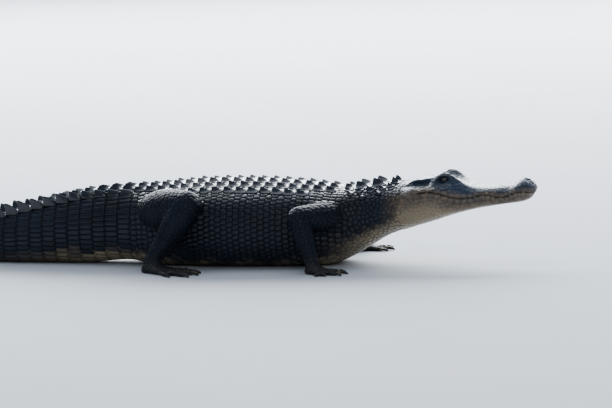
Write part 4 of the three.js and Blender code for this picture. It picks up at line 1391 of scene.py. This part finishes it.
def eye_finish(side):
    def build(wire, shader):
        centre = place(float(eye_station), side * float(eye_out), eye_up) / 1000
        at = wire.node("ShaderNodeTexCoord", {}, {}, 3)
        mapped = wire.node("ShaderNodeMapping", {}, {"Vector": at, "Location": tuple(-centre)})
        x, z = (wire.node("ShaderNodeSeparateXYZ", {}, {0: mapped}, axis) for axis in (0, 2))
        x = (x - pupil_ahead) * 1000
        z = (z - pupil_up) * 1000
        slit = wire.maths("ABSOLUTE", x, 0) - (1 - (z * (1 / pupil_long)) ** 2) * pupil_half
        radius = wire.maths("SQRT", x * x + z * z, 0)
        streaks = noise(wire, 900, 4, 0.7)
        iris = blend(wire, streaks, iris_dark, iris_olive)
        iris = blend(wire, spread_out(wire, radius, 5.5, 8.5), iris, iris_rim)
        colour = blend(wire, spread_out(wire, slit, -0.2, 0.35), pupil_black, iris)
        feed(wire, shader, Base_Color=colour, Roughness=0.12, Coat_Weight=1.0, Coat_Roughness=0.02)
    return build


for side, label in ((1, "left"), (-1, "right")):
    centre = place(float(eye_station), side * float(eye_out), eye_up) / 1000
    bpy.ops.object.select_all(action="DESELECT")
    bpy.ops.mesh.primitive_uv_sphere_add(
        segments=48, ring_count=32, radius=eye_radius / 1000, location=centre
    )
    eye = bpy.context.object
    eye.name = "eyeball_" + label
    bpy.ops.object.transform_apply(location=True, rotation=True, scale=True)
    eye.data.shade_smooth()
    eye.data.materials.append(finish("eye_" + label, eye_finish(side)))
    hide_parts("eye_" + label)
    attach(eye, "root")


# Lids: thick folds of the hide round each eye, lying on the ball, the upper one heavier.
# Each is one closed bead whose two corners are drawn out a little.
lid_points, bead_points = 44, 10
lid_long, lid_high, lid_tilt = 13.0, 6.5, 0.8
lid_thin, upper_more, lower_more = 1.2, 1.0, 0.4
lid_off_ball, lid_broad = 0.4, 1.9
turn = np.arange(lid_points) / lid_points * 2 * np.pi
bead = np.arange(bead_points) / bead_points * 2 * np.pi
arch = np.abs(np.sin(turn))
thick = lid_thin + np.where(np.sin(turn) > 0, upper_more, lower_more) * arch
index = np.arange(lid_points * bead_points).reshape(lid_points, bead_points)
aside, ahead = np.roll(index, -1, 1), np.roll(index, -1, 0)
lid_faces = np.stack([index, aside, np.roll(aside, -1, 0), ahead], -1).reshape(-1, 4).tolist()
for side, label in ((1, "left"), (-1, "right")):
    station = eye_station - lid_long * np.cos(turn)
    up = slit_up + lid_high * np.sign(np.sin(turn)) * arch**1.25 + lid_tilt * np.cos(turn)
    path = []
    for at, height in zip(station, up):
        x = float(place(at, 0.0, 0.0)[0])
        start = Vector((x, midline_y + side * 90, height))
        hit = hide_tree.ray_cast(start, Vector((0, -side, 0)))[0]
        ball = eye_radius**2 - (at - eye_station) ** 2 - (height - eye_up) ** 2
        on_ball = eye_out + math.sqrt(max(ball, 0))
        out = max(abs(hit.y - midline_y), on_ball + lid_off_ball)
        path.append((x, midline_y + side * out, height))
    path = np.array(path)
    path[:, 1] = (np.roll(path[:, 1], 1) + path[:, 1] * 2 + np.roll(path[:, 1], -1)) / 4
    tangent = np.roll(path, -1, 0) - np.roll(path, 1, 0)
    tangent /= np.linalg.norm(tangent, axis=1)[:, None]
    outward = np.tile([0, float(side), 0], (lid_points, 1))
    outward -= (outward * tangent).sum(1)[:, None] * tangent
    outward /= np.linalg.norm(outward, axis=1)[:, None]
    beside = np.cross(tangent, outward)
    across = lid_broad * np.sin(bead)[None, :, None] * beside[:, None]
    tube = path[:, None] + thick[:, None, None] * (
        np.cos(bead)[None, :, None] * outward[:, None] + across
    )
    lid = object_of("lids_" + label, tube.reshape(-1, 3), lid_faces)
    lid.data.shade_smooth()
    lid.data.materials.append(bare_finish)
    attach(lid, "root")


# Claws: dark horn, hooked down, on the three inner toes of each foot and rooted in the toe's end.
# The outer toes have none.
def curved_cone(name, base, tip, length, droop, sides=12, cuts=5):
    """A cone along +X from the origin, bent down towards its tip."""
    bpy.ops.object.select_all(action="DESELECT")
    bpy.ops.mesh.primitive_cone_add(vertices=sides, radius1=base, radius2=tip, depth=length)
    made = bpy.context.object
    made.name = name
    bpy.ops.object.mode_set(mode="EDIT")
    bpy.ops.mesh.select_all(action="SELECT")
    bpy.ops.mesh.subdivide(number_cuts=cuts)
    bpy.ops.object.mode_set(mode="OBJECT")
    for corner in made.data.vertices:
        x, y, z = corner.co
        along = z / length + 0.5
        wanted = base * math.sqrt(max(1 - 0.75 * along**2, 0))
        grow = wanted / (lerp(base, tip, along) or 1) if math.hypot(x, y) > 0 else 1
        corner.co = (along * length, y * grow, x * grow - droop * along**2)
    made.data.shade_smooth()
    return made


def join_pieces(name, pieces):
    bpy.ops.object.select_all(action="DESELECT")
    for piece in pieces:
        piece.select_set(True)
    bpy.context.view_layer.objects.active = pieces[0]
    bpy.ops.object.join()
    pieces[0].name = name
    return pieces[0]


def horn_build(wire, shader):
    streak = noise(wire, 400, 3)
    colour = blend(wire, streak, (0.012, 0.010, 0.008, 1), (0.07, 0.055, 0.038, 1))
    feed(wire, shader, Base_Color=colour, Roughness=0.3, Coat_Weight=0.3, Coat_Roughness=0.1)


claw_longer, claw_rooted, claw_deep, claw_lowest = 1.33, 0.45, 1.1, 0.3
claw_base, claw_tip, claw_droop, claw_up = 0.5, 0.12, 0.42, 0.78
claw_pieces = []
for side, root, way, length, radius, claw in digits:
    if not claw:
        continue
    horn = curved_cone(
        "claw", radius * claw_base, radius * claw_tip, claw * claw_longer, radius * claw_droop,
    )
    turned = side * way
    at = foot_spot(side, root, way, length - claw * claw_rooted, 0, radius * claw_up)
    for corner in horn.data.vertices:
        x, y, z = corner.co
        corner.co = (
            (at[0] + x * math.cos(turned) - y * math.sin(turned)) / 1000,
            (at[1] + x * math.sin(turned) + y * math.cos(turned)) / 1000,
            max(at[2] + z * claw_deep, claw_lowest) / 1000,
        )
    claw_pieces.append(horn)
claws = join_pieces("claws", claw_pieces)
claws.data.materials.append(finish("claw_horn", horn_build))
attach(claws, "root")


# Teeth: stained enamel, rooted in the upper jaw. Only the tips of the upper ones show, outside
# the lower jaw, and the long ones stand where the lip bows down.
def tooth_build(wire, shader):
    stain = noise(wire, 300, 3)
    colour = blend(wire, stain, (0.26, 0.22, 0.15, 1), (0.15, 0.12, 0.08, 1))
    feed(wire, shader, Base_Color=colour, Roughness=0.25, Coat_Weight=0.4, Coat_Roughness=0.08)


tooth_at = (28, 44, 62, 84, 104, 128, 150, 172, 196)
long_teeth, long_tooth = (44, 84, 172), 5.8
tooth_length, tooth_varies = 4.2, 0.6
tooth_base, tooth_tip, tooth_droop = 1.5, 0.3, 0.5
tooth_inside, tooth_rooted = 2.8, 2.5
tooth_pieces = []
for number, station in enumerate(tooth_at):
    short = tooth_length + tooth_varies * math.sin(number * 2.3)
    length = long_tooth if station in long_teeth else short
    out = float(lip_out(station)) - tooth_inside
    up = float(mouth_height(station)) + tooth_rooted
    for side in (1, -1):
        tooth = curved_cone("tooth", tooth_base, tooth_tip, length, tooth_droop, 8, 2)
        root = place(float(station), side * out, up)
        for corner in tooth.data.vertices:
            x, y, z = corner.co
            corner.co = ((root[0] + y) / 1000, (root[1] + side * z) / 1000, (root[2] - x) / 1000)
        tooth_pieces.append(tooth)
teeth = join_pieces("teeth", tooth_pieces)
teeth.data.materials.append(finish("tooth_enamel", tooth_build))
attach(teeth, "root")


# Floor: a pale, matt and faintly cloudy ground for the model to stand on, wide enough to fill
# the picture from any side. It isn't part of the model.
def floor_build(wire, shader):
    cloudy = noise(wire, 1.5, 2)
    colour = blend(wire, cloudy, (0.60, 0.62, 0.65, 1), (0.66, 0.68, 0.70, 1))
    feed(wire, shader, Base_Color=colour, Roughness=0.75)


bpy.ops.object.select_all(action="DESELECT")
bpy.ops.mesh.primitive_plane_add(size=40, location=(0, 0, 0))
floor = bpy.context.object
floor.name = "floor"
floor.data.materials.append(finish("pale_floor", floor_build))
